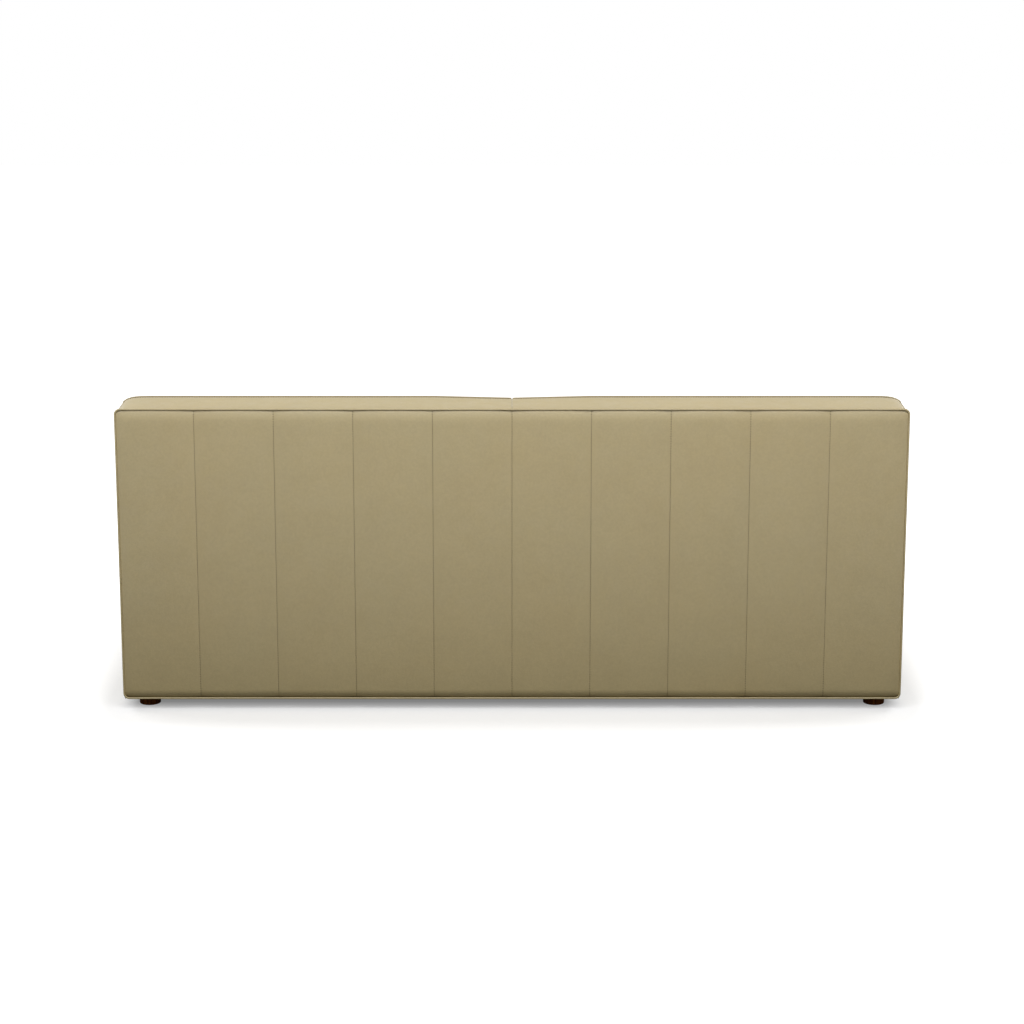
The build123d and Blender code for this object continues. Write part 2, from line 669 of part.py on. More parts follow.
with BuildPart() as back_top_rail:
    with BuildSketch(Plane.YZ.offset(-TOP_END_X)):
        with BuildLine():
            Polyline(
                (back_y(POST_TOP_Z + GAP, -BACK_PAD), POST_TOP_Z + GAP),
                (FRAME_REAR_Y, POST_TOP_Z + GAP),
                (FRAME_REAR_Y, TOP_FRONT_Z),
                (back_y(TOP_FRONT_Z, -BACK_PAD), TOP_FRONT_Z),
                close=True,
            )
        make_face()
    extrude(amount=2 * TOP_END_X)
    add(over_strip.part, mode=Mode.SUBTRACT)
    mirror(over_strip.part, about=Plane.YZ, mode=Mode.SUBTRACT)

with BuildPart() as corner_blocks:
    for x, y in FEET.values():
        outward = 1 if x > 0 else -1
        edge_x = outward * (BASE_RAIL_X - GAP)
        front_y = ARM_FRONT_BACK_Y + GAP if y < 0 else FOOT_REAR_Y - BLOCK / 2
        sides = sorted((edge_x, edge_x - outward * BLOCK))
        slab(sides, (front_y, front_y + BLOCK), (FRAME_LOW_Z, BLOCK_TOP_Z))
    with Locations(*[(x, y, FRAME_LOW_Z + BLOCK_HEIGHT / 2) for x, y in FEET.values()]):
        Cylinder(NUT_BARREL / 2 + BOLT_GAP, 2 * BLOCK_HEIGHT, mode=Mode.SUBTRACT)

# Springs across the seat, held by clips on the two rails

SPRING_FRONT_Y = (RAIL_FRONT_Y + RAIL_BACK_Y) / 2
SPRING_REAR_Y = (SEAT_RAIL_FRONT_Y + SEAT_RAIL_REAR_Y) / 2
SPRING_TURN = (SPRING_REAR_Y - SPRING_FRONT_Y) / (SPRING_LEGS - 1) / 2
SPRING_LEG = (SPRING_WIDTH - WIRE) / 2 - SPRING_TURN
SPRING_PITCH = ARM_INNER_X / SPRINGS_PER_SEAT
SPRING_XS = [SPRING_PITCH * (i + 0.5) for i in range(-SPRINGS_PER_SEAT, SPRINGS_PER_SEAT)]

with BuildPart() as one_spring:
    with BuildLine(Plane.XY.offset(WIRE_Z)) as spring_path:
        for i in range(SPRING_LEGS):
            side = 1 if i % 2 == 0 else -1
            leg_y = SPRING_FRONT_Y + 2 * SPRING_TURN * i
            Line((-side * SPRING_LEG, leg_y), (side * SPRING_LEG, leg_y))
            if i < SPRING_LEGS - 1:
                ThreePointArc(
                    (side * SPRING_LEG, leg_y),
                    (side * (SPRING_LEG + SPRING_TURN), leg_y + SPRING_TURN),
                    (side * SPRING_LEG, leg_y + 2 * SPRING_TURN),
                )
    with BuildSketch(Plane((-SPRING_LEG, SPRING_FRONT_Y, WIRE_Z), z_dir=(1, 0, 0))):
        Circle(WIRE / 2)
    sweep(path=spring_path.line)

with BuildPart() as seat_springs:
    with Locations(*[(x, 0, 0) for x in SPRING_XS]):
        add(one_spring.part)

with BuildPart() as spring_clips:
    clip_places = [(x, y, WIRE_Z) for x in SPRING_XS for y in (SPRING_FRONT_Y, SPRING_REAR_Y)]
    with Locations(*clip_places):
        Box(CLIP_LENGTH, CLIP_WIDTH, CLIP_HEIGHT)
        Cylinder(WIRE / 2 + CLIP_GAP, 2 * CLIP_LENGTH, rotation=(0, 90, 0), mode=Mode.SUBTRACT)

# Webbing across the back posts, under the foam

with BuildPart() as back_webbing:
    for i in range(BACK_STRAPS):
        down = PAD_DROP * (i + 1) / (BACK_STRAPS + 1)
        origin = BACK_ORIGIN - BACK_UP * down + BACK_OUT * STRAP_OUT
        with BuildSketch(Plane(origin, x_dir=(1, 0, 0), z_dir=BACK_OUT)):
            Rectangle(2 * (SEAT_EDGE_X - LEATHER - SEAT_GAP), STRAP_WIDTH)
    extrude(amount=STRAP)

# Feet, with their bolts, nuts and glides

foot_parts = {}
for place, (x, y) in FEET.items():
    with BuildPart() as foot:
        with BuildSketch(Plane((x, y, GLIDE + GAP))):
            Circle(FOOT_DIAMETER / 2)
        extrude(amount=FOOT_HEIGHT - GLIDE - 2 * GAP)
        fillet(foot.edges().sort_by(Axis.Z)[0], FOOT_EDGE)
        with BuildSketch(Plane((x, y, FOOT_HEIGHT - GAP))):
            Circle(BOLT_DIAMETER / 2 + BOLT_GAP)
        extrude(amount=-BOLT_IN_FOOT, mode=Mode.SUBTRACT)
        with BuildSketch(Plane((x, y, GLIDE + GAP))):
            Circle(NAIL_DIAMETER / 2 + BOLT_GAP)
        extrude(amount=NAIL_LENGTH, mode=Mode.SUBTRACT)
    foot_parts[place] = foot

with BuildPart() as foot_glides:
    for x, y in FEET.values():
        with BuildSketch(Plane((x, y, 0))):
            Circle(GLIDE_DIAMETER / 2)
        extrude(amount=GLIDE)
        with BuildSketch(Plane((x, y, GLIDE))):
            Circle(NAIL_DIAMETER / 2)
        extrude(amount=NAIL_LENGTH)

NUT_LOW_Z = BLOCK_TOP_Z - NUT_DEPTH
with BuildPart() as tee_nuts:
    for x, y in FEET.values():
        with BuildSketch(Plane((x, y, NUT_LOW_Z))):
            Circle(NUT_BARREL / 2)
        extrude(amount=NUT_DEPTH + GAP)
        with BuildSketch(Plane((x, y, BLOCK_TOP_Z + GAP))):
            Circle(NUT_FLANGE / 2)
        extrude(amount=NUT_FLANGE_THICKNESS)
        with BuildSketch(Plane((x, y, NUT_LOW_Z))):
            Circle(BOLT_DIAMETER / 2 + BOLT_GAP)
        extrude(amount=NUT_DEPTH + GAP + NUT_FLANGE_THICKNESS, mode=Mode.SUBTRACT)

BOLT_LOW_Z = FOOT_HEIGHT - BOLT_IN_FOOT
BOLT_HIGH_Z = BLOCK_TOP_Z + NUT_FLANGE_THICKNESS + BOLT_TOP
with BuildPart() as hanger_bolts:
    for x, y in FEET.values():
        with BuildSketch(Plane((x, y, BOLT_LOW_Z))):
            Circle(BOLT_DIAMETER / 2)
        extrude(amount=BOLT_HIGH_Z - BOLT_LOW_Z)

# Write every piece

SINGLES = {
    "outside_back_cover": outside_back_cover,
    "outside_back_wadding": outside_back_wadding,
    "outside_back_board": outside_back_board,
    "outside_back_welt": outside_back_welt,
    "front_border": front_border,
    "seat_deck": seat_deck,
    "dust_cover": dust_cover,
    "front_rail": front_rail,
    "rear_seat_rail": rear_seat_rail,
    "centre_rail": centre_rail,
    "base_rear_rail": base_rear_rail,
    "back_post_centre": back_post_centre,
    "back_top_rail": back_top_rail,
    "corner_blocks": corner_blocks,
    "seat_springs": seat_springs,
    "spring_clips": spring_clips,
    "back_webbing": back_webbing,
    "foot_glides": foot_glides,
    "tee_nuts": tee_nuts,
    "hanger_bolts": hanger_bolts,
}
PAIRS = {
    "top_panel": top_panel,
    "side_panel": side_panel,
    "arm_cover": arm_cover,
    "arm_pad": arm_pad,
    "arm_facing": arm_facing,
    "inside_back_cover": inside_back_cover,
    "inside_back_foam": inside_back_foam,
    "seat_cover": seat_cover,
    "seat_foam": seat_foam,
    "seat_zip": seat_zip,
    "zip_slider": zip_slider,
    "base_side_rail": base_side_rail,
    "inner_arm_panel": inner_arm_panel,
    "arm_front_board": arm_front_board,
    "arm_top_board": arm_top_board,
    "back_post": back_post,
}

os.makedirs("parts", exist_ok=True)
for name, piece in SINGLES.items():
    save(piece, name)
for name, piece in PAIRS.items():
    save_pair(piece, name)
for place, foot in foot_parts.items():
    save(foot, f"foot_{place}")
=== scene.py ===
from math import cos, pi, radians, sin, tan

import bpy
import numpy as np
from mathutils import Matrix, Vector


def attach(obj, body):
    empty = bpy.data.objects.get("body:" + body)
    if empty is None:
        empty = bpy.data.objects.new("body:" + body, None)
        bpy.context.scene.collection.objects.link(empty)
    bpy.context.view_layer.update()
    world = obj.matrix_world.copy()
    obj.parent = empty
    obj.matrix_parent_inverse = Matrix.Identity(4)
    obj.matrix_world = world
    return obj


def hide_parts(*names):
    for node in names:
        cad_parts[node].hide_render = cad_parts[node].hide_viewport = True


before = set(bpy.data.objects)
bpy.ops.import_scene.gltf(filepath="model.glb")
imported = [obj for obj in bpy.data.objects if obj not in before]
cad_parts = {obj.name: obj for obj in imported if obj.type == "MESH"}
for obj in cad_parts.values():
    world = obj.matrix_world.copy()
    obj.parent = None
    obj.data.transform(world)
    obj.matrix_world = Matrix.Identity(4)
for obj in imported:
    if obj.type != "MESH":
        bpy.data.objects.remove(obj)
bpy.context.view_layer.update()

# Sizes are in millimetres, as in the part's source, and become metres when a mesh is made.
MM = 0.001

# Sizes shared with the part
GAP = 0.3
HALF_WIDTH = 1065.0
FRONT_Y = -440.0
REAR_HEIGHT = 840.0
FOOT_HEIGHT = 30.0
PANEL_PITCH = 213.0
SEAM_Y = 437.0
PANEL_CROWN = 3.0
BACK_LAYER_Y = 429.7
WELT_RADIUS = 2.5
WELT_CORNER = 14.0
WELT_PROUD = 1.0
WELT_Y = SEAM_Y + WELT_PROUD - WELT_RADIUS
WELT_X = HALF_WIDTH - WELT_RADIUS
WELT_LOW_Z = FOOT_HEIGHT + WELT_RADIUS
WELT_HIGH_Z = REAR_HEIGHT - WELT_RADIUS
COVER_X = WELT_X - WELT_RADIUS - GAP
COVER_LOW_Z = WELT_LOW_Z + WELT_RADIUS + GAP
COVER_HIGH_Z = WELT_HIGH_Z - WELT_RADIUS - GAP
COVER_CORNER = WELT_CORNER - WELT_RADIUS - GAP
PANEL_EDGE_Y = WELT_Y - WELT_RADIUS - GAP
SIDE_INNER_X = HALF_WIDTH - 6.0
SEAM_GAP = 0.15
TOP_DEPTH = 131.0
TOP_CLIMB = 11.0
TOP_PANEL = 8.0
TOP_FRONT_Y = PANEL_EDGE_Y - TOP_DEPTH
TOP_REAR_Z = REAR_HEIGHT - 1.5
TOP_FRONT_Z = TOP_REAR_Z + TOP_CLIMB
TOP_END_X = SIDE_INNER_X - GAP
CENTRE_DIP = 5.0
DROP_LENGTH = 150.0
DROP_START_X = TOP_END_X - DROP_LENGTH
DROP_POWER = 9
FRONT_END_DROP = 16.0
REAR_END_DROP = 8.0
LEAN = radians(14.0)
PAD_DEPTH = 70.0
ARM_INNER_X = 853.0
ARM_MIDDLE_X = (ARM_INNER_X + HALF_WIDTH) / 2
ARM_HEIGHT = 620.0
ARM_FRONT_Y = -429.7
ARM_EDGE = 18.0
ARM_CROWN = 4.0
ARM_BACKING_X = ARM_INNER_X + 14.3
ARM_BACKING_Z = 593.7
LIP_Z = ARM_HEIGHT - ARM_CROWN - ARM_EDGE
SEAT_BASE_Z = 290.0
SEAT_PITCH = ARM_INNER_X / 4
DECK_TOP_Z = SEAT_BASE_Z - GAP
DECK_LOW_Z = DECK_TOP_Z - 5.0
CUSHION_FRONT_Y = -438.0
CUSHION_HEIGHT = 150.0
FRONT_ROLL = 45.0
REAR_ROLL = 16.0

SIDES = {"right": 1, "left": -1}


def back_y(z, out):
    """Where a plane parallel to the inside back stands at one height."""
    return TOP_FRONT_Y - out * cos(LEAN) + (z - TOP_FRONT_Z - out * sin(LEAN)) * tan(LEAN)


EAR_Y = back_y(ARM_HEIGHT, -GAP)
ARM_REAR_Y = back_y(ARM_BACKING_Z - GAP, -PAD_DEPTH) - GAP

# Shapes in numbers. In the values below, a soft edge is a width, a depth and at times a power. Waves are
# a height, a length and a seed, a rim of painted shade is a strength and a reach, and steps are fine and
# coarse.
SOFT_POWER = 1.7
STEP_GROWTH = 1.6
WAVE_COUNT = 7
WAVE_SPREAD = (0.7, 1.5)


def swell(share):
    """The crown of a pad: nothing at its two ends and full over its middle."""
    inside = np.clip(share, 0.0, 1.0)
    return 1 - (2 * inside - 1) ** 4


def roll_drop(distance, radius):
    """How far a rounded edge has fallen at a distance from its end."""
    inside = np.maximum(0.0, radius - distance)
    return radius - np.sqrt(radius**2 - inside**2)


def edge_roll(distance, width, depth, power=SOFT_POWER):
    """How far a soft edge has sunk at a distance from it."""
    return depth * np.maximum(0.0, 1 - np.maximum(distance, 0.0) / width) ** power


def rolled(limit, edges, *distances):
    """How far several soft edges have sunk together, at a distance from each."""
    depths = [edge_roll(distance, *edge) for distance, edge in zip(distances, edges)]
    return np.minimum(np.sqrt(np.sum(np.square(depths), axis=0)), limit)


def furrow(distance, width):
    """The dent along a seam: 1 in its middle, and nothing well away from it."""
    return np.exp(-((distance / width) ** 2))


def rim(distance, strength, reach):
    """Painted shade that fades away from an edge."""
    return strength * np.exp(-distance / reach)


def graded(start, stop, fine, coarse):
    """Places from start to stop, close together at both ends."""
    half = (stop - start) / 2
    steps = [0.0]
    step = fine
    while steps[-1] < half:
        steps.append(steps[-1] + step)
        step = min(step * STEP_GROWTH, coarse)
    steps = np.array(steps) * half / steps[-1]
    return np.concatenate([start + steps, stop - steps[-2::-1]])


def even(start, stop, step):
    return np.linspace(start, stop, max(2, round(abs(stop - start) / step) + 1))


def joined(lines):
    """Runs of places end to end, each shared end once."""
    parts = [line[:-1] for line in lines[:-1]]
    return np.concatenate(parts + [lines[-1]])


def between(seams, spacing, **steps):
    """Places across a row of channels, spaced from each seam to the next."""
    return joined([spacing(a, b, **steps) for a, b in zip(seams, seams[1:])])


def across(x, seams):
    """How far across its channel each place is, from 0 to 1."""
    seams = np.asarray(seams)
    index = np.clip(np.searchsorted(seams, x, side="right") - 1, 0, len(seams) - 2)
    return (x - seams[index]) / (seams[index + 1] - seams[index])


def nearest(x, seams):
    return np.min([np.abs(x - seam) for seam in seams], axis=0)


def ripple(a, b, waves, side=0):
    """Smooth unevenness over a surface, different on the two sides."""
    height, wavelength, seed = waves
    draw = np.random.default_rng(seed + side)
    total = np.zeros(np.broadcast(a, b).shape)
    for _ in range(WAVE_COUNT):
        angle, phase = draw.uniform(0, 2 * pi, 2)
        length = wavelength * draw.uniform(*WAVE_SPREAD)
        total += np.sin(2 * pi * (a * cos(angle) + b * sin(angle)) / length + phase)
    return height * (total / WAVE_COUNT)


def grid(a, b):
    return np.meshgrid(a, b, indexing="ij")


def spots(x, y, z):
    """Points from their coordinates, of which some may be one value for all."""
    return np.stack(np.broadcast_arrays(x, y, z), -1)


def lean_points(x, down, out):
    """Places on the leaning inside back, by the way down it and out from it."""
    y = TOP_FRONT_Y - sin(LEAN) * down - cos(LEAN) * out
    z = TOP_FRONT_Z - cos(LEAN) * down + sin(LEAN) * out
    return spots(x, y, z)


def strip_heights(x):
    """Heights of the top strip's rear and front edges."""
    dip = CENTRE_DIP * np.maximum(0.0, 1 - x / PANEL_PITCH)
    drop = np.maximum(0.0, (x - DROP_START_X) / DROP_LENGTH) ** DROP_POWER
    return TOP_REAR_Z - REAR_END_DROP * drop, TOP_FRONT_Z - dip - FRONT_END_DROP * drop


# Meshes
PLATE_SHARP = radians(50.0)
CORD_SIDES = 10
CORD_END = 0.5  # how far a cord's end bulges, in radii
STITCH = (6.7, 2.9, 0.95)  # pitch, length and radius
STITCH_SIDES = 6
STITCH_ALONG = np.array([-0.5, -0.38, 0.0, 0.38, 0.5])
STITCH_WIDE = np.array([0.35, 0.85, 1.0, 0.85, 0.35])
CORNER_POINTS = 10


def quads(index):
    """Faces between the neighbours in a grid of points."""
    return np.stack([index[:-1, :-1], index[1:, :-1], index[1:, 1:], index[:-1, 1:]], -1).reshape(-1, 4)


def block(*runs):
    """Places and faces over the six sides of a block, and where each place is in the list."""
    outer = np.zeros([len(run) for run in runs], bool)
    for axis in range(3):
        ends = [slice(None)] * 3
        ends[axis] = [0, -1]
        outer[tuple(ends)] = True
    index = -np.ones(outer.shape, int)
    index[outer] = np.arange(outer.sum())
    faces = []
    for axis in range(3):
        for end in (0, -1):
            side = quads(np.take(index, end, axis=axis))
            faces.append(side[:, ::-1] if (end == 0) != (axis == 1) else side)
    places = [run[i] for run, i in zip(runs, np.nonzero(outer))]
    return places, np.concatenate(faces), index


def outward(points, faces):
    """Turns the faces of a closed mesh outwards."""
    a, b, c, d = (points[faces[:, i]] for i in range(4))
    volume = (a * (np.cross(b, c) + np.cross(c, d))).sum()
    return faces if volume > 0 else faces[:, ::-1]


def put(name, data):
    """A new object in the scene."""
    item = bpy.data.objects.new(name, data)
    bpy.context.scene.collection.objects.link(item)
    return item


def make_piece(name, points, faces, material="leather", body="frame", seam=None, sharp=None):
    mesh = bpy.data.meshes.new(name)
    mesh.from_pydata((points * MM).tolist(), [], [list(face) for face in faces])
    mesh.materials.append(MATERIALS[material])
    mesh.polygons.foreach_set("use_smooth", np.ones(len(mesh.polygons), bool))
    if sharp:
        mesh.set_sharp_from_angle(angle=sharp)
    # The seam attribute carries painted shade, which darkens the leather.
    if seam is not None:
        mesh.attributes.new("seam", "FLOAT", "POINT").data.foreach_set("value", seam)
    piece = put(name, mesh)
    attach(piece, body)
    return piece


def plate_piece(name, outer, inner, seam=None, cells=None, **settings):
    """A panel from grids of its outer and inner surfaces, over all cells of the grid or some of them."""
    count = outer.shape[0] * outer.shape[1]
    kept = quads(np.arange(count).reshape(outer.shape[:2]))
    if cells is not None:
        kept = kept[cells.reshape(-1)]
    start = kept.reshape(-1)
    stop = np.roll(kept, -1, axis=1).reshape(-1)
    bare = ~np.isin(start * count + stop, stop * count + start)
    walls = np.stack([stop[bare], start[bare], start[bare] + count, stop[bare] + count], -1)
    faces = np.concatenate([kept, kept[:, ::-1] + count, walls])
    used, faces = np.unique(faces, return_inverse=True)
    points = np.concatenate([outer.reshape(-1, 3), inner.reshape(-1, 3)])[used]
    if seam is not None:
        seam = np.concatenate([seam.reshape(-1), np.zeros(count)])[used]
    faces = outward(points, faces.reshape(-1, 4))
    return make_piece(name, points, faces, seam=seam, sharp=PLATE_SHARP, **settings)


def unit(vectors):
    return vectors / np.linalg.norm(vectors, axis=-1, keepdims=True)


def ring(side, up, count):
    """Directions all round a line at each of its points."""
    angle = np.linspace(0, 2 * pi, count, endpoint=False)[:, None]
    return np.cos(angle) * side[:, None] + np.sin(angle) * up[:, None]


def round_index(rows, count):
    """A grid of points round a tube, with its first column again at the end."""
    index = np.arange(rows * count).reshape(rows, count)
    return np.concatenate([index, index[:, :1]], axis=1)


def tube(path, radius, reference, sides=CORD_SIDES, closed=False):
    """A round cord along a line of points."""
    if closed:
        tangent = np.roll(path, -1, axis=0) - np.roll(path, 1, axis=0)
    else:
        tangent = np.gradient(path, axis=0)
    tangent = unit(tangent)
    side = unit(np.cross(tangent, reference))
    points = path[:, None] + radius * ring(side, np.cross(side, tangent), sides)
    points = points.reshape(-1, 3)
    index = round_index(len(path), sides)
    if closed:
        faces = quads(np.concatenate([index, index[:1]]))
        return points, outward(points, faces)
    ends = path[[0, -1]] + np.stack([-tangent[0], tangent[-1]]) * radius * CORD_END
    points = np.concatenate([points, ends])
    first, last = len(points) - 2, len(points) - 1
    caps = [[first, index[0, i + 1], index[0, i], index[0, i]] for i in range(sides)]
    caps += [[last, index[-1, i], index[-1, i + 1], index[-1, i + 1]] for i in range(sides)]
    faces = outward(points, np.concatenate([quads(index), np.array(caps)]))
    return points, [list(dict.fromkeys(face)) for face in faces.tolist()]


def cord(name, path, radius, reference=(0, 1, 0), body="frame", **shape):
    points, faces = tube(path, radius, reference, **shape)
    return make_piece(name, points, faces, body=body)


def resample(path, pitch):
    """Points at an even pitch along a line, with the line's direction there."""
    lengths = np.concatenate([[0.0], np.cumsum(np.linalg.norm(np.diff(path, axis=0), axis=1))])
    places = np.arange(pitch / 2, lengths[-1], pitch)

    def at(shift):
        return np.stack([np.interp(places + shift, lengths, path[:, i]) for i in range(3)], -1)

    return at(0.0), unit(at(0.5) - at(-0.5))


def sew(name, lines, normals, stitch=STITCH, material="thread", body="frame"):
    """One short rounded thread after another along lines that share one normal, or have one each."""
    pitch, length, radius = stitch
    along = STITCH_ALONG * length
    wide = STITCH_WIDE * radius
    size = len(along) * STITCH_SIDES
    all_points = []
    for line, normal in zip(lines, np.broadcast_to(normals, (len(lines), 3))):
        centres, tangent = resample(line, pitch)
        side = unit(np.cross(tangent, normal))
        up = np.cross(side, tangent)
        shift = along[None, :, None, None] * tangent[:, None, None]
        bow = (wide - radius)[None, :, None, None] * up[:, None, None]
        round_it = wide[None, :, None, None] * ring(side, up, STITCH_SIDES)[:, None]
        rings = centres[:, None, None] + shift + bow + round_it
        all_points.append(rings.reshape(-1, size, 3))
    threads = np.concatenate(all_points)
    offset = (np.arange(len(threads)) * size)[:, None, None]
    faces = (quads(round_index(len(along), STITCH_SIDES))[None] + offset).reshape(-1, 4).tolist()
    low = np.arange(STITCH_SIDES)[::-1]
    high = np.arange(STITCH_SIDES) + size - STITCH_SIDES
    faces += (low[None] + offset[:, 0]).tolist() + (high[None] + offset[:, 0]).tolist()
    return make_piece(name, threads.reshape(-1, 3), faces, material, body)


def rounded_loop(half_width, low, high, radius, step):
    """Points round a rectangle with rounded corners, as (x, z)."""
    corners = [(1, high - radius), (-1, high - radius), (-1, low + radius), (1, low + radius)]
    arcs = []
    for quarter, (way, centre_z) in enumerate(corners):
        angles = np.linspace(quarter, quarter + 1, CORNER_POINTS) * pi / 2
        x = way * (half_width - radius) + radius * np.cos(angles)
        arcs.append(np.stack([x, centre_z + radius * np.sin(angles)], -1))
    runs = []
    for arc, following in zip(arcs, arcs[1:] + arcs[:1]):
        runs.append(arc)
        count = int(np.linalg.norm(following[0] - arc[-1]) / step)
        share = np.linspace(0, 1, count + 2)[1:-1, None]
        runs.append(arc[-1] + (following[0] - arc[-1]) * share)
    return np.concatenate(runs)


# Materials
NOISE_SPAN = (0.3, 0.7)  # noise seldom leaves these values


class Shader:
    """The nodes of a material or of the world, each added with its inputs."""

    def __init__(self, owner):
        owner.use_nodes = True
        self.owner = owner
        self.tree = owner.node_tree
        self.tree.nodes.clear()

    def add(self, kind, inputs=None, **settings):
        node = self.tree.nodes.new("ShaderNode" + kind)
        for key, value in settings.items():
            setattr(node, key, value)
        for key, value in (inputs or {}).items():
            if isinstance(value, bpy.types.NodeSocket):
                self.tree.links.new(value, node.inputs[key])
            else:
                node.inputs[key].default_value = value
        return node

    def place(self, stretch=(1, 1, 1)):
        """Object coordinates, in metres, stretched along an axis."""
        spot = self.add("TexCoord").outputs["Object"]
        return self.add("Mapping", {"Vector": spot, "Scale": stretch}).outputs[0]

    def noise(self, spot, scale, low, high, detail=2.0, rough=0.5):
        """Noise spread over a range of values."""
        inputs = {"Vector": spot, "Scale": scale, "Detail": detail, "Roughness": rough}
        cloud = self.add("TexNoise", inputs).outputs[0]
        return self.spread(cloud, *NOISE_SPAN, low, high)

    def spread(self, value, start, stop, low, high):
        inputs = {"Value": value, "From Min": start, "From Max": stop, "To Min": low, "To Max": high}
        return self.add("MapRange", inputs).outputs[0]

    def math(self, operation, a, b=0.0):
        return self.add("Math", {0: a, 1: b}, operation=operation).outputs[0]

    def vector(self, operation, a, b=(0, 0, 0)):
        return self.add("VectorMath", {0: a, 1: b}, operation=operation).outputs

    def product(self, *values):
        total = values[0]
        for value in values[1:]:
            total = self.math("MULTIPLY", total, value)
        return total

    def mix(self, share, a, b):
        return self.add("Mix", {0: share, 6: a, 7: b}, data_type="RGBA").outputs[2]

    def shade(self, colour, value):
        return self.add("HueSaturation", {"Color": colour, "Value": value}).outputs[0]

    def bump(self, height, distance, strength=1.0, normal=None):
        inputs = {"Height": height, "Distance": distance, "Strength": strength}
        if normal is not None:
            inputs["Normal"] = normal
        return self.add("Bump", inputs).outputs[0]

    def finish(self, colour, rough, normal, **more):
        inputs = {"Base Color": colour, "Roughness": rough, "Normal": normal}
        inputs.update({key.replace("_", " "): value for key, value in more.items()})
        surface = self.add("BsdfPrincipled", inputs)
        self.add("OutputMaterial", {0: surface.outputs[0]})
        return self.owner


def new_material(name):
    return Shader(bpy.data.materials.new(name))


def rgb(red, green, blue):
    return (red, green, blue, 1.0)


LEATHER_COLOUR = rgb(0.394, 0.317, 0.151)
LEATHER_WARM = rgb(0.398, 0.313, 0.143)


def leather(name):
    """Khaki leather: blotches, fine mottling and pebbled grain, with painted shade from the seam attribute
    in its colour and its reflections.
    """
    s = new_material(name)
    spot = s.place()
    blotch = s.noise(spot, 4.0, 0.0, 1.0, 3.0)
    tone = s.mix(blotch, LEATHER_COLOUR, LEATHER_WARM)
    wide = s.noise(spot, 9.0, 0.975, 1.025, 3.0)
    middle = s.noise(spot, 55.0, 0.99, 1.01, 3.0)
    fine = s.noise(spot, 190.0, 0.955, 1.045, 2.0)
    # The seam attribute is painted shade: it halves the colour and weakens the reflections in seams,
    # furrows and along edges.
    seam = s.add("Attribute", attribute_name="seam").outputs["Fac"]
    painted_shade = s.spread(seam, 0.0, 1.0, 1.0, 0.5)
    colour = s.shade(tone, s.product(wide, middle, fine, painted_shade))
    pebbles = s.add("TexVoronoi", {"Vector": spot, "Scale": 520.0}, feature="SMOOTH_F1").outputs[0]
    pores = s.noise(spot, 1500.0, 0.0, 1.0, 2.0)
    creases = s.noise(spot, 38.0, 0.0, 1.0, 4.0, 0.6)
    normal = s.bump(creases, 0.0006, 0.35)
    normal = s.bump(pebbles, 0.0005, 0.4, normal)
    normal = s.bump(pores, 0.0002, 0.3, normal)
    patchy = s.noise(spot, 30.0, 0.40, 0.50, 3.0)
    shine = s.spread(seam, 0.0, 1.0, 0.9, 0.05)
    return s.finish(colour, patchy, normal, IOR=1.6, Specular_IOR_Level=shine)


def thread(name):
    s = new_material(name)
    spot = s.place()
    tone = s.shade(rgb(0.075, 0.055, 0.026), s.noise(spot, 900.0, 0.8, 1.2))
    waves = {"Vector": spot, "Scale": 700.0, "Distortion": 1.0}
    twist = s.add("TexWave", waves, bands_direction="DIAGONAL").outputs["Fac"]
    normal = s.bump(twist, 0.0002, 0.6)
    return s.finish(tone, 0.6, normal, Sheen_Weight=0.1)


def wood(name, dark, light, roughness, scale):
    """Grain along X, with long streaks and pores."""
    s = new_material(name)
    rings = s.noise(s.place((0.06, 1.0, 1.0)), scale, 0.0, 1.0, 6.0, 0.6)
    pores = s.noise(s.place((0.02, 1.0, 1.0)), scale * 9, 0.75, 1.1, 2.0)
    colour = s.shade(s.mix(rings, dark, light), pores)
    rough = s.spread(rings, 0.0, 1.0, roughness - 0.06, roughness + 0.06)
    return s.finish(colour, rough, s.bump(pores, 0.0003, 0.4))


def foot_wood(name):
    """Dark stained turned wood, with upright grain."""
    s = new_material(name)
    streaks = s.noise(s.place((1.0, 1.0, 0.08)), 130.0, 0.0, 1.0, 6.0, 0.65)
    pores = s.noise(s.place((1.0, 1.0, 0.03)), 700.0, 0.6, 1.15, 2.0)
    colour = s.shade(s.mix(streaks, rgb(0.06, 0.011, 0.0013), rgb(0.26, 0.08, 0.013)), pores)
    rough = s.spread(streaks, 0.0, 1.0, 0.40, 0.50)
    return s.finish(colour, rough, s.bump(pores, 0.0002, 0.4), Specular_IOR_Level=0.03)


def metal(name, colour, roughness, stretch):
    s = new_material(name)
    spot = s.place(stretch)
    streak = s.noise(spot, 900.0, 0.85, 1.1, 3.0)
    stains = s.noise(s.place(), 60.0, 0.9, 1.08, 3.0)
    rough = s.noise(spot, 400.0, roughness - 0.07, roughness + 0.1, 2.0)
    normal = s.bump(streak, 0.00008, 0.4)
    tone = s.shade(colour, s.product(streak, stains))
    return s.finish(tone, rough, normal, Metallic=1.0)


def cloth(name, dark, light, threads, roughness, depth=0.0004):
    """Plain weave, with uneven yarns."""
    s = new_material(name)
    spot = s.place()
    yarn = {"Vector": spot, "Scale": threads, "Distortion": 0.6, "Detail": 2.0}
    warp, weft = (s.add("TexWave", yarn, bands_direction=way).outputs["Fac"] for way in "XY")
    weave = s.product(warp, weft)
    uneven = s.noise(spot, 45.0, 0.9, 1.1, 4.0)
    lint = s.noise(spot, 600.0, 0.92, 1.08, 2.0)
    colour = s.shade(s.mix(weave, dark, light), s.product(uneven, lint))
    normal = s.bump(weave, depth, 0.7)
    return s.finish(colour, roughness, normal, Sheen_Weight=0.15)


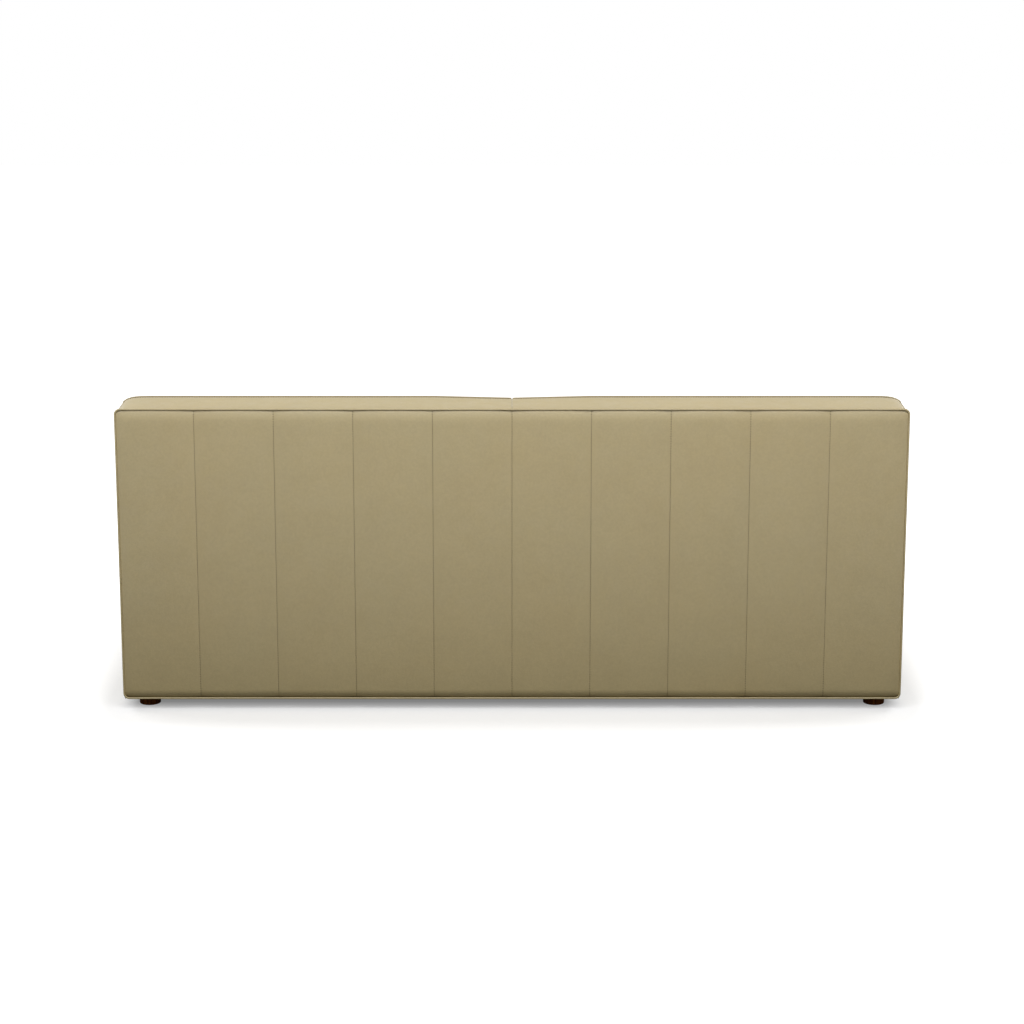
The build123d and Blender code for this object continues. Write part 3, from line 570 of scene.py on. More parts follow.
def mottled(name, dark, light, scale, roughness, depth):
    """A matt pressed or moulded material."""
    s = new_material(name)
    spot = s.place()
    grain = s.noise(spot, scale, 0.0, 1.0, 5.0, 0.65)
    stains = s.noise(spot, scale / 25, 0.92, 1.06, 2.0)
    colour = s.shade(s.mix(grain, dark, light), stains)
    rough = s.spread(grain, 0.0, 1.0, roughness - 0.05, roughness + 0.05)
    return s.finish(colour, rough, s.bump(grain, depth, 0.6))


BOARD_TONES = rgb(0.20, 0.12, 0.06), rgb(0.34, 0.22, 0.12)
TIMBER_TONES = rgb(0.40, 0.24, 0.11), rgb(0.62, 0.44, 0.24)
DECK_TONES = rgb(0.10, 0.085, 0.055), rgb(0.20, 0.17, 0.11)
DUST_TONES = rgb(0.006, 0.006, 0.006), rgb(0.022, 0.021, 0.02)
STRAP_TONES = rgb(0.03, 0.025, 0.02), rgb(0.10, 0.085, 0.06)
TAPE_TONES = rgb(0.12, 0.095, 0.05), rgb(0.23, 0.185, 0.10)
NYLON_TONES = rgb(0.012, 0.011, 0.010), rgb(0.022, 0.020, 0.018)

MATERIALS = {
    "leather": leather("khaki_leather"),
    "thread": thread("sewing_thread"),
    "foot_wood": foot_wood("stained_wood"),
    "frame_wood": wood("frame_timber", *TIMBER_TONES, 0.6, 22.0),
    "fibreboard": mottled("pressed_board", *BOARD_TONES, 220.0, 0.8, 0.0004),
    "deck_cloth": cloth("deck_cloth", *DECK_TONES, 260.0, 0.85),
    "dust_cloth": cloth("dust_cloth", *DUST_TONES, 330.0, 0.9),
    "webbing": cloth("strap_webbing", *STRAP_TONES, 180.0, 0.8),
    "zip_tape": cloth("zip_tape", *TAPE_TONES, 700.0, 0.8, 0.0002),
    "steel": metal("galvanised_steel", rgb(0.55, 0.56, 0.57), 0.38, (1.0, 1.0, 0.2)),
    "zip_metal": metal("aged_brass", rgb(0.40, 0.29, 0.13), 0.36, (0.2, 1.0, 1.0)),
    "nylon": mottled("moulded_nylon", *NYLON_TONES, 300.0, 0.5, 0.0001),
}

# Camera: the outside back seen straight on, from a little above
CAMERA_PITCH = 13.0
CAMERA_PLACE = (0.0, 7.333, 2.1487)
CAMERA_LENS = 92.29
camera = put("camera", bpy.data.cameras.new("camera"))
camera.data.sensor_width = 36.0
camera.data.lens = CAMERA_LENS
camera.location = CAMERA_PLACE
camera.rotation_euler = (radians(90.0 - CAMERA_PITCH), 0.0, pi)
camera.data.clip_end = 100.0
bpy.context.scene.camera = camera


# Light and floor, in metres


def area_light(name, place, aim, width, depth, watts):
    lamp = bpy.data.lights.new(name, "AREA")
    lamp.shape = "RECTANGLE"
    lamp.size = width
    lamp.size_y = depth
    lamp.energy = watts
    light = put(name, lamp)
    light.location = place
    light.rotation_euler = (Vector(aim) - Vector(place)).to_track_quat("-Z", "Y").to_euler()


area_light("rear_softbox", (0.0, 2.3, 2.9), (0.0, 0.5, 0.5), width=4.4, depth=1.8, watts=97.0)
for name, side in SIDES.items():
    place = (3.3 * side, -1.4, 2.8)
    aim = (0.2 * side, -0.2, 0.4)
    area_light(f"front_softbox_{name}", place, aim, width=2.4, depth=2.0, watts=68.0)


def by_ray(s, matt, glossy, seen):
    """One value for light off matt surfaces, one for reflections and one for what is seen directly."""
    path = s.add("LightPath").outputs
    direct = s.math("MAXIMUM", path["Is Camera Ray"], path["Is Transmission Ray"])
    mirror = path["Is Glossy Ray"]
    total = s.product(s.math("SUBTRACT", 1.0, s.math("MAXIMUM", direct, mirror)), matt)
    for share, value in ((mirror, glossy), (direct, seen)):
        total = s.math("ADD", total, s.product(share, value))
    return total


WORLD_LIGHT = 0.2
WORLD_GLOSS = 0.95
WORLD_SEEN = 1.0
world = Shader(bpy.data.worlds.new("studio"))
strength = by_ray(world, WORLD_LIGHT, WORLD_GLOSS, WORLD_SEEN)
background = world.add("Background", {"Color": rgb(1.0, 1.0, 1.0), "Strength": strength})
world.add("OutputWorld", {0: background.outputs[0]})
bpy.context.scene.world = world.owner

# The floor glows white away from the sofa. The sofa's shadow on it is real light, but the glow rises with
# the distance from the footprint: painted light under the sofa's edge and a painted edge to its shadow
FLOOR_SIZE = 30.0
FLOOR_BOUNCE = 0.19
FLOOR_SEEN = 0.6
FOOTPRINT = (1.035, 0.36, 0.0)
SHADOW_SHAPE = (2.2, 1.0, 1.0)
# painted light under the sofa's edge, rising over this reach from the footprint
CORE_EDGE = (0.0, 0.045)  # under the sofa's edge, in metres from the footprint
CORE_GLOW = (0.22, 0.4)
# where the painted edge of the sofa's shadow fades to white
SHADOW_EDGE = (0.18, 0.58)
SHADOW_GLOW = (0.0, 0.6)
# painted shade in the floor's reflections near the sofa, brightening with distance
GLOSS_RISE = 0.6
GLOSS_LIMIT = 2.0


def studio_floor():
    s = new_material("studio_floor")
    away = s.vector("ABSOLUTE", s.add("TexCoord").outputs["Object"])[0]
    away = s.vector("MAXIMUM", s.vector("SUBTRACT", away, FOOTPRINT)[0])[0]
    gap = s.vector("LENGTH", away)["Value"]
    edge = s.vector("LENGTH", s.vector("MULTIPLY", away, SHADOW_SHAPE)[0])["Value"]
    # Painted shade in reflections near the sofa, painted light under its edge and a painted edge to its
    # shadow.
    gloss = s.math("MINIMUM", s.product(gap, GLOSS_RISE), GLOSS_LIMIT)
    core = s.spread(gap, *CORE_EDGE, *CORE_GLOW)
    glow = s.math("ADD", core, s.spread(edge, *SHADOW_EDGE, *SHADOW_GLOW))
    shade = by_ray(s, FLOOR_BOUNCE, 0.0, FLOOR_SEEN)
    colour = s.add("CombineColor", {0: shade, 1: shade, 2: shade}).outputs[0]
    matt = s.add("BsdfDiffuse", {"Color": colour}).outputs[0]
    light = s.add("Emission", {"Strength": by_ray(s, 0.0, gloss, glow)}).outputs[0]
    both = s.add("AddShader", {0: matt, 1: light}).outputs[0]
    s.add("OutputMaterial", {0: both})
    return s.owner


floor_mesh = bpy.data.meshes.new("floor")
half = FLOOR_SIZE / 2
floor_corners = [(-half, -half, 0), (half, -half, 0), (half, half, 0), (-half, half, 0)]
floor_mesh.from_pydata(floor_corners, [], [(0, 1, 2, 3)])
floor_mesh.materials.append(studio_floor())
floor = put("floor", floor_mesh)

bpy.context.scene.view_settings.view_transform = "Standard"

# Outside back: ten panels in one cover, rolled over at the top
REAR_SEAMS = [PANEL_PITCH * k for k in range(-4, 5)]
COVER_SEAMS = [-COVER_X] + REAR_SEAMS + [COVER_X]
COVER_LEAST = 0.6
GROOVE_DEPTH = 0.5
GROOVE_WIDTH = 1.5
# painted shade in the seam grooves of covers, pads and cushions
SEAM_SHADE = 0.06
SEAM_STITCH_LIFT = 0.35
SEAM_STITCH_STEP = 3.0
REAR_STITCH_ENDS = (COVER_LOW_Z + 3.0, COVER_HIGH_Z - 1.0)
CORNER_REACH = 30.0
REAR_EDGES = (20.0, 1.8, 1.5), (30.0, 5.6, 1.9), (16.0, 6.7, 1.5)  # sides, top and foot
REAR_SINK = 6.8
REAR_WAVES = (0.35, 330.0, 3)
REAR_PUCKER = (0.05, 40.0, 4)
REAR_PUCKER_REACH = 22.0
# painted shade in the slit under the top welt and in the groove along the foot
REAR_TOP_RIM = (0.35, 1.2)
REAR_LOW_RIM = (0.8, 4.0)
WELT_SIDES = 14
WELT_WAVES = (0.12, 70.0, 8)


def channelled(x, z, seams, waves, pucker, reach):
    """How far a cover stands out between its upright seams, and how deep in a seam each place is."""
    near = nearest(x, seams[1:-1])
    groove = furrow(near, GROOVE_WIDTH)
    crown = PANEL_CROWN * (1 - np.abs(2 * across(x, seams) - 1) ** 3)
    soft = ripple(x, z, waves) + ripple(x, z, pucker) * np.exp(-near / reach)
    return crown - GROOVE_DEPTH * groove + soft * (1 - groove), groove


def sew_upright(name, seams, surface, ends, out):
    """Stitches up the seams of a cover that faces out along Y."""
    heights = even(*ends, SEAM_STITCH_STEP)
    lines = []
    for x in seams:
        y = surface(np.full_like(heights, x), heights)[0]
        lines.append(spots(x, y + out * SEAM_STITCH_LIFT, heights))
    sew(name, lines, (0, out, 0))


def rear_surface(x, z):
    """The rear face's Y over a grid, and the painted shade in its seams, under its top welt and along its
    foot.
    """
    crown, groove = channelled(x, z, COVER_SEAMS, REAR_WAVES, REAR_PUCKER, REAR_PUCKER_REACH)
    above, below = COVER_HIGH_Z - z, z - COVER_LOW_Z
    roll = rolled(REAR_SINK, REAR_EDGES, COVER_X - np.abs(x), above, below)
    # Painted shade in the seam grooves, in the slit under the top welt and along the foot.
    dark = [groove * SEAM_SHADE, rim(above, *REAR_TOP_RIM), rim(below, *REAR_LOW_RIM)]
    return np.maximum(SEAM_Y + crown - roll, BACK_LAYER_Y + COVER_LEAST), np.max(dark, axis=0)


def rear_cover():
    xs = between(COVER_SEAMS, graded, fine=0.8, coarse=15.0)
    x, z = grid(xs, graded(COVER_LOW_Z, COVER_HIGH_Z, fine=1.0, coarse=7.0))
    y, seam = rear_surface(x, z)
    corner = np.maximum(0.0, np.abs(x) - COVER_X + CORNER_REACH) / CORNER_REACH
    end_z = np.minimum(COVER_HIGH_Z - z, z - COVER_LOW_Z)
    x = x - np.sign(x) * roll_drop(end_z, COVER_CORNER) * corner
    cover = plate_piece("outside_back", spots(x, y, z), spots(x, BACK_LAYER_Y, z), seam=seam)
    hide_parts("outside_back_cover", "outside_back_wadding")
    sew_upright("outside_back_stitches", REAR_SEAMS, rear_surface, REAR_STITCH_ENDS, 1)


def rear_welt():
    x, z = rounded_loop(WELT_X, WELT_LOW_Z, WELT_HIGH_Z, WELT_CORNER, step=6.0).T
    path = spots(x, WELT_Y + ripple(x, z, WELT_WAVES), z)
    welt = cord("outside_back_piping", path, WELT_RADIUS, sides=WELT_SIDES, closed=True)
    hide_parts("outside_back_welt")


# Strip over the top of the back, and the piping along its front edge
STRIP_REAR_DEPTH = 1.8
STRIP_END = (8.0, 5.0, 0.8)
STRIP_EDGES = (6.0, STRIP_REAR_DEPTH), (14.0, 3.0), (3.0, 0.6), STRIP_END  # rear, front, centre and end
STRIP_SINK = 7.4
STRIP_SWELL = 0.9
STRIP_WAVES = (0.4, 260.0, 11)
# painted shade along the strip's edges and its centre seam
STRIP_RIM = (0.6, 2.5)
STRIP_STITCH = 12.0  # topstitching behind the strip's front edge
STRIP_STITCH_ENDS = (8.0, TOP_END_X - 12.0)
STRIP_STITCH_LIFT = 0.3
STRIP_FURROW = 5.0
FURROW_DEPTH = 0.5
# painted shade in the topstitch furrow behind the front edge
STITCH_FURROW_SHADE = 0.8
WELT_COVER = 0.7  # how far below the welt's middle the strip's rear corner is sewn
RISE_LENGTH = 60.0
RISE_DEPTH = 6.0
TOP_PIPING = 2.6
TOP_PIPING_IN = 0.5
TOP_PIPING_LOW = 2.0
# painted shade on the piping at the height of the strip's front edge, deepening below it
TOP_PIPING_SHADE = 0.3
PIPING_OUT = np.array([1.2, 1.8, 2.0])  # the piping's end turns out and down into the corner
PIPING_DOWN = np.array([3.0, 7.0, 12.0])


def strip_grid(x, d, side):
    """The strip's upper and lower heights, and its painted shade along its edges and in its stitch furrow,
    at places across and forward over it.
    """
    share = d / TOP_DEPTH
    ahead = TOP_DEPTH - d
    end = TOP_END_X - x
    centre = x - SEAM_GAP
    rear_z, front_z = strip_heights(x)
    base = rear_z + (front_z - rear_z) * share
    roll = rolled(STRIP_SINK, STRIP_EDGES, d, ahead, centre, end)
    stitch_line = furrow(ahead - STRIP_STITCH, STRIP_FURROW)
    soft = STRIP_SWELL * swell(share) + ripple(x, d, STRIP_WAVES, side)
    welt_z = WELT_HIGH_Z - roll_drop(WELT_X - x, WELT_CORNER) - WELT_COVER
    corner = np.hypot(STRIP_REAR_DEPTH, edge_roll(end, *STRIP_END))
    rise = np.maximum(0.0, welt_z - rear_z + corner) * np.exp(-d / RISE_DEPTH)
    rise = rise * np.clip(2 - 2 * end / RISE_LENGTH, 0.0, 1.0)
    # Painted shade along the edges and in the topstitch furrow.
    dark = rim(np.min([d, ahead, end, centre * 2], axis=0), *STRIP_RIM)
    upper = base + soft + rise - roll - FURROW_DEPTH * stitch_line
    return upper, base - TOP_PANEL, np.maximum(dark, STITCH_FURROW_SHADE * stitch_line)


def top_piping(name, side):
    xs = graded(SEAM_GAP + TOP_PIPING, TOP_END_X - TOP_PIPING, fine=4.0, coarse=12.0)
    edge_z = strip_heights(xs)[1]
    edge_z = np.concatenate([edge_z, edge_z[-1] - PIPING_DOWN])
    xs = np.concatenate([xs, xs[-1] + PIPING_OUT])
    edge_y = np.full_like(xs, TOP_FRONT_Y + TOP_PIPING_IN)
    edge_y[-len(PIPING_DOWN):] -= PIPING_DOWN * tan(LEAN)
    path = spots(side * xs, edge_y, edge_z - TOP_PIPING_LOW)
    points, faces = tube(path, TOP_PIPING, (0, 1, 0))
    # Painted shade on the piping, deeper down its lower side below the strip's front edge.
    shown = np.interp(points[:, 0] * side, xs, edge_z) - points[:, 2]
    seam = np.clip(shown / TOP_PIPING + TOP_PIPING_SHADE, 0.0, 1.0)
    make_piece(f"top_piping_{name}", points, faces, seam=seam)


def top_strip(name, side):
    xs = graded(SEAM_GAP, TOP_END_X, fine=1.2, coarse=13.0)
    x, d = grid(xs, graded(0.0, TOP_DEPTH, fine=1.2, coarse=3.0))
    upper, lower, seam = strip_grid(x, d, side)
    outer = spots(side * x, PANEL_EDGE_Y - d, upper)
    inner = spots(side * x, PANEL_EDGE_Y - d, lower)
    strip = plate_piece(f"top_strip_{name}", outer, inner, seam=seam)
    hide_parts(f"top_panel_{name}")
    top_piping(name, side)
    xs = graded(*STRIP_STITCH_ENDS, fine=3.0, coarse=6.0)
    depth = np.full_like(xs, TOP_DEPTH - STRIP_STITCH)
    heights = strip_grid(xs, depth, side)[0] + STRIP_STITCH_LIFT
    sew(f"top_strip_stitches_{name}", [spots(side * xs, PANEL_EDGE_Y - depth, heights)], (0, 0, 1))


# Side panels, up the outside of each arm and the end of the back
SIDE_TOP_Z = LIP_Z - GAP
SIDE_TOP_DROP = 4.0  # the end of the strip rolls down over the panel, except at its rear corner
SIDE_EDGES = (9.0, 3.0), (8.0, 3.0), (10.0, 3.5), (9.0, 3.5)  # front, rear, foot and top
SIDE_SINK = 4.5
SIDE_IN = 0.8
# painted shade where the panel's edges roll away
SIDE_SHADE = 0.12
SIDE_WAVES = (0.8, 380.0, 21)
SIDE_CALM = 60.0  # the panel lies flatter this near to its inner corner
SIDE_STEPS = (1.5, 15.0)


def side_panel(name, side):
    lower_ys = graded(ARM_FRONT_Y, EAR_Y, *SIDE_STEPS)
    ys = joined([lower_ys, graded(EAR_Y, PANEL_EDGE_Y, fine=1.5, coarse=12.0)])
    lower_zs = graded(FOOT_HEIGHT, SIDE_TOP_Z, *SIDE_STEPS)
    upper = graded(0.0, 1.0, fine=0.006, coarse=0.06)[1:]
    rows = np.concatenate([lower_zs, np.full(len(upper), SIDE_TOP_Z)])
    cells = np.ones((len(ys) - 1, len(rows) - 1), bool)
    cells[: len(lower_ys) - 1, len(lower_zs) - 1 :] = False
    y, z = grid(ys, rows)
    climb = grid(ys, np.concatenate([np.zeros(len(lower_zs)), upper]))[1]
    back = np.clip((y - EAR_Y) / (PANEL_EDGE_Y - EAR_Y), 0.0, 1.0)
    rear_z, front_z = strip_heights(np.array(TOP_END_X))
    drop = SIDE_TOP_DROP * (1 - np.exp((y - PANEL_EDGE_Y) / RISE_DEPTH))
    top_z = front_z + (rear_z - front_z) * back - drop
    z = z + climb * (top_z - SIDE_TOP_Z)
    lean_y = np.maximum(EAR_Y, back_y(z, -GAP))
    y = np.where(y >= EAR_Y, lean_y + back * (PANEL_EDGE_Y - lean_y), y)
    top_z = np.where(back > 0, top_z, SIDE_TOP_Z)
    front = np.where(climb > 0, y - lean_y, y - ARM_FRONT_Y)
    notch = np.hypot(np.maximum(EAR_Y - y, 0.0), np.maximum(SIDE_TOP_Z - z, 0.0))
    roll = rolled(SIDE_SINK, SIDE_EDGES, front, PANEL_EDGE_Y - y, z - FOOT_HEIGHT, top_z - z)
    soft = ripple(y, z, SIDE_WAVES, side) * np.minimum(1.0, notch / SIDE_CALM)
    outer = spots(side * (HALF_WIDTH - SIDE_IN - roll + soft), y, z)
    inner = spots(side * SIDE_INNER_X, y, z)
    # Painted shade where the panel's edges roll away.
    panel = plate_piece(f"side_cover_{name}", outer, inner, seam=SIDE_SHADE * roll, cells=cells)
    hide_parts(f"side_panel_{name}")


# Arms: a padded sleeve, a facing across the front and piping round it
ARM_BACKING_OUT = TOP_END_X + 0.2
BACKING_EDGE = 4.0
WALL_POINTS = 27
TOP_POINTS = 23
TURN_POINTS = 8
SLEEVE_STEPS = (1.5, 13.0)
SLEEVE_CLEAR_Y = EAR_Y - 1.0  # behind this the sleeve runs in under the back
SLEEVE_NECK = 0.6
SLEEVE_FRONT_EDGE = (9.0, 3.0)
SLEEVE_REAR_EDGE = (14.0, 4.0)
SLEEVE_WAVES = (1.2, 170.0, 31)
SLEEVE_WRINKLES = (0.5, 60.0, 33)
# painted shade along the sleeve's front edge
SLEEVE_RIM = (1.0, 2.5)
WALL_ROLL = 0.6
WALL_SAG = 0.48
WALL_WAVES = (0.4, 200.0, 35)
ARM_STITCH = 9.0  # topstitching beside the arm's upper edges
ARM_STITCH_FRONT = 6.0
ARM_STITCH_REAR = 4.0
ARM_STITCH_RISE = 1.0  # only rows this far above the lip are sewn
ARM_STITCH_LEAN = 0.5
ARM_FURROW = 2.0
ARM_FURROW_DEPTH = 0.8
# painted shade in the topstitch furrows
ARM_FURROW_SHADE = 0.5
PIPING = 3.0


def sleeve_line(near_x, far_x, top_z, edge, crown):
    """A line over the arm, from the seat up, over and out, as x and z."""
    low_z = top_z - edge
    turn = np.linspace(0, pi / 2, TURN_POINTS)[1:-1]
    wall = np.linspace(SEAT_BASE_Z, low_z, WALL_POINTS)
    top = np.linspace(near_x + edge, far_x - edge, TOP_POINTS)
    rise = crown * (1 - np.linspace(-1, 1, TOP_POINTS) ** 2)
    rising, falling = edge * np.sin(turn), edge * np.cos(turn)
    x = [np.full_like(wall, near_x), top[0] - falling, top, top[-1] + rising, [far_x]]
    z = [wall, low_z + rising, top_z + rise, low_z + falling, [low_z]]
    return np.concatenate(x), np.concatenate(z)


def arm_sleeve(name, side):
    line_x, line_z = sleeve_line(ARM_INNER_X, HALF_WIDTH, ARM_HEIGHT - ARM_CROWN, ARM_EDGE, ARM_CROWN)
    backing_x, backing_z = sleeve_line(ARM_BACKING_X, ARM_BACKING_OUT, ARM_BACKING_Z, BACKING_EDGE, 0.0)
    neck = np.array([SLEEVE_CLEAR_Y, SLEEVE_CLEAR_Y + SLEEVE_NECK])
    front_ys = graded(ARM_FRONT_Y, neck[0], *SLEEVE_STEPS)
    ys = joined([front_ys, neck, even(neck[1], ARM_REAR_Y, SLEEVE_STEPS[1])])
    x, y = grid(line_x, ys)
    z = grid(line_z, ys)[0]
    behind = y > SLEEVE_CLEAR_Y
    on_top = np.clip((z - LIP_Z) / ARM_EDGE, 0.0, 1.0)
    groove = furrow(nearest(x, [ARM_INNER_X + ARM_STITCH, HALF_WIDTH - ARM_STITCH]), ARM_FURROW) * on_top
    front = edge_roll(y - ARM_FRONT_Y, *SLEEVE_FRONT_EDGE)
    soft = ripple(x, y, SLEEVE_WAVES, side) + ripple(x, y, SLEEVE_WRINKLES, side)
    z = z + on_top * (soft - front) - ARM_FURROW_DEPTH * groove
    wall = (1 - on_top) * (x < ARM_BACKING_X)
    sag = np.maximum(0.0, WALL_SAG + ripple(y, z, WALL_WAVES, side))
    x = x + wall * (front * WALL_ROLL + sag)
    outside = np.clip((x - HALF_WIDTH + ARM_EDGE) / ARM_EDGE, 0.0, 1.0)
    x = x - outside * edge_roll(SLEEVE_CLEAR_Y - y, *SLEEVE_REAR_EDGE)
    x = np.where(behind, np.minimum(x, TOP_END_X - GAP), x)
    # Painted shade in the topstitch furrows and along the front edge.
    seam = np.maximum(ARM_FURROW_SHADE * groove, rim(y - ARM_FRONT_Y, *SLEEVE_RIM))
    outer = spots(side * x, y, z)
    back_x = grid(backing_x, ys)[0]
    back_x = np.where(behind, np.minimum(back_x, TOP_END_X - 2 * GAP), back_x)
    inner = spots(side * back_x, y, grid(backing_z, ys)[0])
    sleeve = plate_piece(f"arm_sleeve_{name}", outer, inner, seam=seam)
    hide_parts(f"arm_cover_{name}", f"arm_pad_{name}")
    keep = (ys > ARM_FRONT_Y + ARM_STITCH_FRONT) & (ys < EAR_Y - ARM_STITCH_REAR)
    upper = np.flatnonzero(line_z > LIP_Z + ARM_STITCH_RISE)
    lines = []
    for target in (ARM_INNER_X + ARM_STITCH, HALF_WIDTH - ARM_STITCH):
        row = upper[np.argmin(np.abs(line_x[upper] - target))]
        lines.append(outer[row][keep])
    normals = [(way * side * ARM_STITCH_LEAN, 0, 1) for way in (-1, 1)]
    sew(f"arm_stitches_{name}", lines, normals)


FACING_CORNER = 14.0
FACING_FOOT = (9.0, 4.0)
FACING_EDGES = (11.0, 5.0), (11.0, 5.0), FACING_FOOT  # sides, top and foot
FACING_SINK = 6.0
# the roll at which the painted shade along the facing's edges is full
FACING_FULL_SHADE = 8.0
FACING_CROWN = 2.0
FACING_IN = 1.2
FACING_WAVES = (0.5, 220.0, 41)
FACING_STEPS = (1.2, 12.0)
PIPING_END_Z = FOOT_HEIGHT + 0.5


def arm_facing(name, side):
    xs = graded(ARM_INNER_X, HALF_WIDTH, *FACING_STEPS)
    x, z = grid(xs, graded(FOOT_HEIGHT, ARM_HEIGHT, *FACING_STEPS))
    reach = HALF_WIDTH - ARM_MIDDLE_X
    sides = reach - np.abs(x - ARM_MIDDLE_X)
    above = ARM_HEIGHT - z
    roll = rolled(FACING_SINK, FACING_EDGES, sides, above, z - FOOT_HEIGHT)
    crown = FACING_CROWN * swell((x - ARM_INNER_X) / (2 * reach))
    y = FRONT_Y + FACING_IN + roll - crown + ripple(x, z, FACING_WAVES, side)
    corner = np.maximum(0.0, CORNER_REACH - sides) / CORNER_REACH
    x = x - np.sign(x - ARM_MIDDLE_X) * roll_drop(above, FACING_CORNER) * corner
    outer = spots(side * x, y, z)
    inner = spots(side * x, ARM_FRONT_Y - GAP, z)
    # Painted shade where the facing's edges roll away.
    seam = np.clip(roll / FACING_FULL_SHADE, 0, 1) ** 2
    facing = plate_piece(f"arm_front_{name}", outer, inner, seam=seam)
    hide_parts(f"arm_facing_{name}")
    loop = rounded_loop(reach - PIPING, 0.0, ARM_HEIGHT - PIPING, FACING_CORNER - PIPING, step=9.0)
    start = np.argmin(np.where(loop[:, 0] < 0, ARM_HEIGHT, loop[:, 1]))
    loop = np.roll(loop, -start, axis=0)
    loop = loop[loop[:, 1] > FOOT_HEIGHT + PIPING]
    ends = np.stack([loop[[0, -1], 0], np.full(2, PIPING_END_Z)], -1)
    x, z = np.concatenate([ends[:1], loop, ends[1:]]).T
    y = FRONT_Y + FACING_IN + PIPING + edge_roll(z - FOOT_HEIGHT, *FACING_FOOT)
    cord(f"arm_piping_{name}", spots(side * (x + ARM_MIDDLE_X), y, z), PIPING)


# Front border under the cushions, sewn on the channels' pitch
BORDER_X = ARM_BACKING_X
BORDER_HIGH_Z = DECK_LOW_Z - GAP
BORDER_BACK_Y = ARM_FRONT_Y + 10.0
BORDER_IN = 1.0
SEAT_SEAMS = [SEAT_PITCH * k for k in range(-3, 4)]
BORDER_SEAMS = [-BORDER_X] + SEAT_SEAMS + [BORDER_X]
BORDER_EDGES = (12.0, 5.0), (14.0, 5.0)  # foot and top
BORDER_WAVES = (0.5, 240.0, 51)
BORDER_PUCKER = (0.12, 36.0, 52)
BORDER_PUCKER_REACH = 25.0
BORDER_STITCH_ENDS = (FOOT_HEIGHT + 3.0, BORDER_HIGH_Z - 3.0)


def border_surface(x, z):
    """The border's Y over a grid, and how deep in a seam each place is."""
    crown, groove = channelled(x, z, BORDER_SEAMS, BORDER_WAVES, BORDER_PUCKER, BORDER_PUCKER_REACH)
    roll = rolled(np.inf, BORDER_EDGES, z - FOOT_HEIGHT, BORDER_HIGH_Z - z)
    return ARM_FRONT_Y + BORDER_IN - crown + roll, groove


def front_border():
    xs = between(BORDER_SEAMS, graded, fine=0.9, coarse=15.0)
    x, z = grid(xs, graded(FOOT_HEIGHT, BORDER_HIGH_Z, fine=1.2, coarse=8.0))
    y, groove = border_surface(x, z)
    outer = spots(x, y, z)
    inner = spots(x, BORDER_BACK_Y, z)
    # painted shade in the seam grooves
    border = plate_piece("front_border_cover", outer, inner, seam=SEAM_SHADE * groove)
    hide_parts("front_border")
    sew_upright("front_border_stitches", SEAT_SEAMS, border_surface, BORDER_STITCH_ENDS, -1)


# Deck under the cushions: cloth with a leather band along the front
DECK_BAND_Y = ARM_FRONT_Y + 95.0
DECK_REAR_Y = back_y(DECK_LOW_Z, -PAD_DEPTH) - GAP
DECK_DIP = 1.2
DECK_WAVES = (0.8, 210.0, 61)
DECK_FRONT_EDGE = (12.0, 2.2)
DECK_EDGE = (3.0, 1.2)
DECK_STEPS = (2.0, 16.0)
DECK_STITCH_Y = DECK_BAND_Y - 7.0
DECK_STITCH_X = BORDER_X - 6.0
DECK_STITCH_LIFT = 0.1


def deck_height(x, y):
    dip = DECK_DIP + ripple(x, y, DECK_WAVES)
    return DECK_TOP_Z - np.maximum(0.0, dip) - edge_roll(y - ARM_FRONT_Y, *DECK_FRONT_EDGE)


def deck_plate(name, low_y, high_y, material):
    x, y = grid(graded(-BORDER_X, BORDER_X, *DECK_STEPS), graded(low_y, high_y, *DECK_STEPS))
    z = deck_height(x, y) - edge_roll(np.minimum(y - low_y, high_y - y), *DECK_EDGE)
    return plate_piece(name, spots(x, y, z), spots(x, y, DECK_LOW_Z), material=material)


def seat_deck():
    deck = deck_plate("seat_deck_cloth", DECK_BAND_Y + GAP, DECK_REAR_Y, "deck_cloth")
    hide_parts("seat_deck")
    band = deck_plate("seat_deck_band", ARM_FRONT_Y, DECK_BAND_Y, "leather")
    xs = even(-DECK_STITCH_X, DECK_STITCH_X, step=8.0)
    line = spots(xs, DECK_STITCH_Y, deck_height(xs, DECK_STITCH_Y) + DECK_STITCH_LIFT)
    sew("seat_deck_stitches", [line], (0, 0, 1))


# Cloth under the frame, with its staples
DUST_FRONT_Y = BORDER_BACK_Y + GAP
DUST_REAR_Y = 424.1
DUST_THICKNESS = 1.5
DUST_SAG = 5.0
DUST_FLAT = 30.0
DUST_FALL = 120.0
DUST_WAVES = (0.5, 150.0, 71)
DUST_CALM = 60.0
DUST_STEP = 18.0
STAPLE = (42.0, 10.0, 0.6)  # pitch, length and radius
STAPLE_Z = FOOT_HEIGHT - 0.3
STAPLE_INSET = 8.0
STAPLE_ENDS = 60.0
STAPLE_STEP = 40.0


def dust_height(x, y):
    inside = np.minimum(TOP_END_X - np.abs(x), np.minimum(y - DUST_FRONT_Y, DUST_REAR_Y - y))
    sag = DUST_SAG * (1 - np.exp(-np.maximum(inside - DUST_FLAT, 0.0) / DUST_FALL))
    return FOOT_HEIGHT - sag + ripple(x, y, DUST_WAVES) * np.minimum(1.0, inside / DUST_CALM)


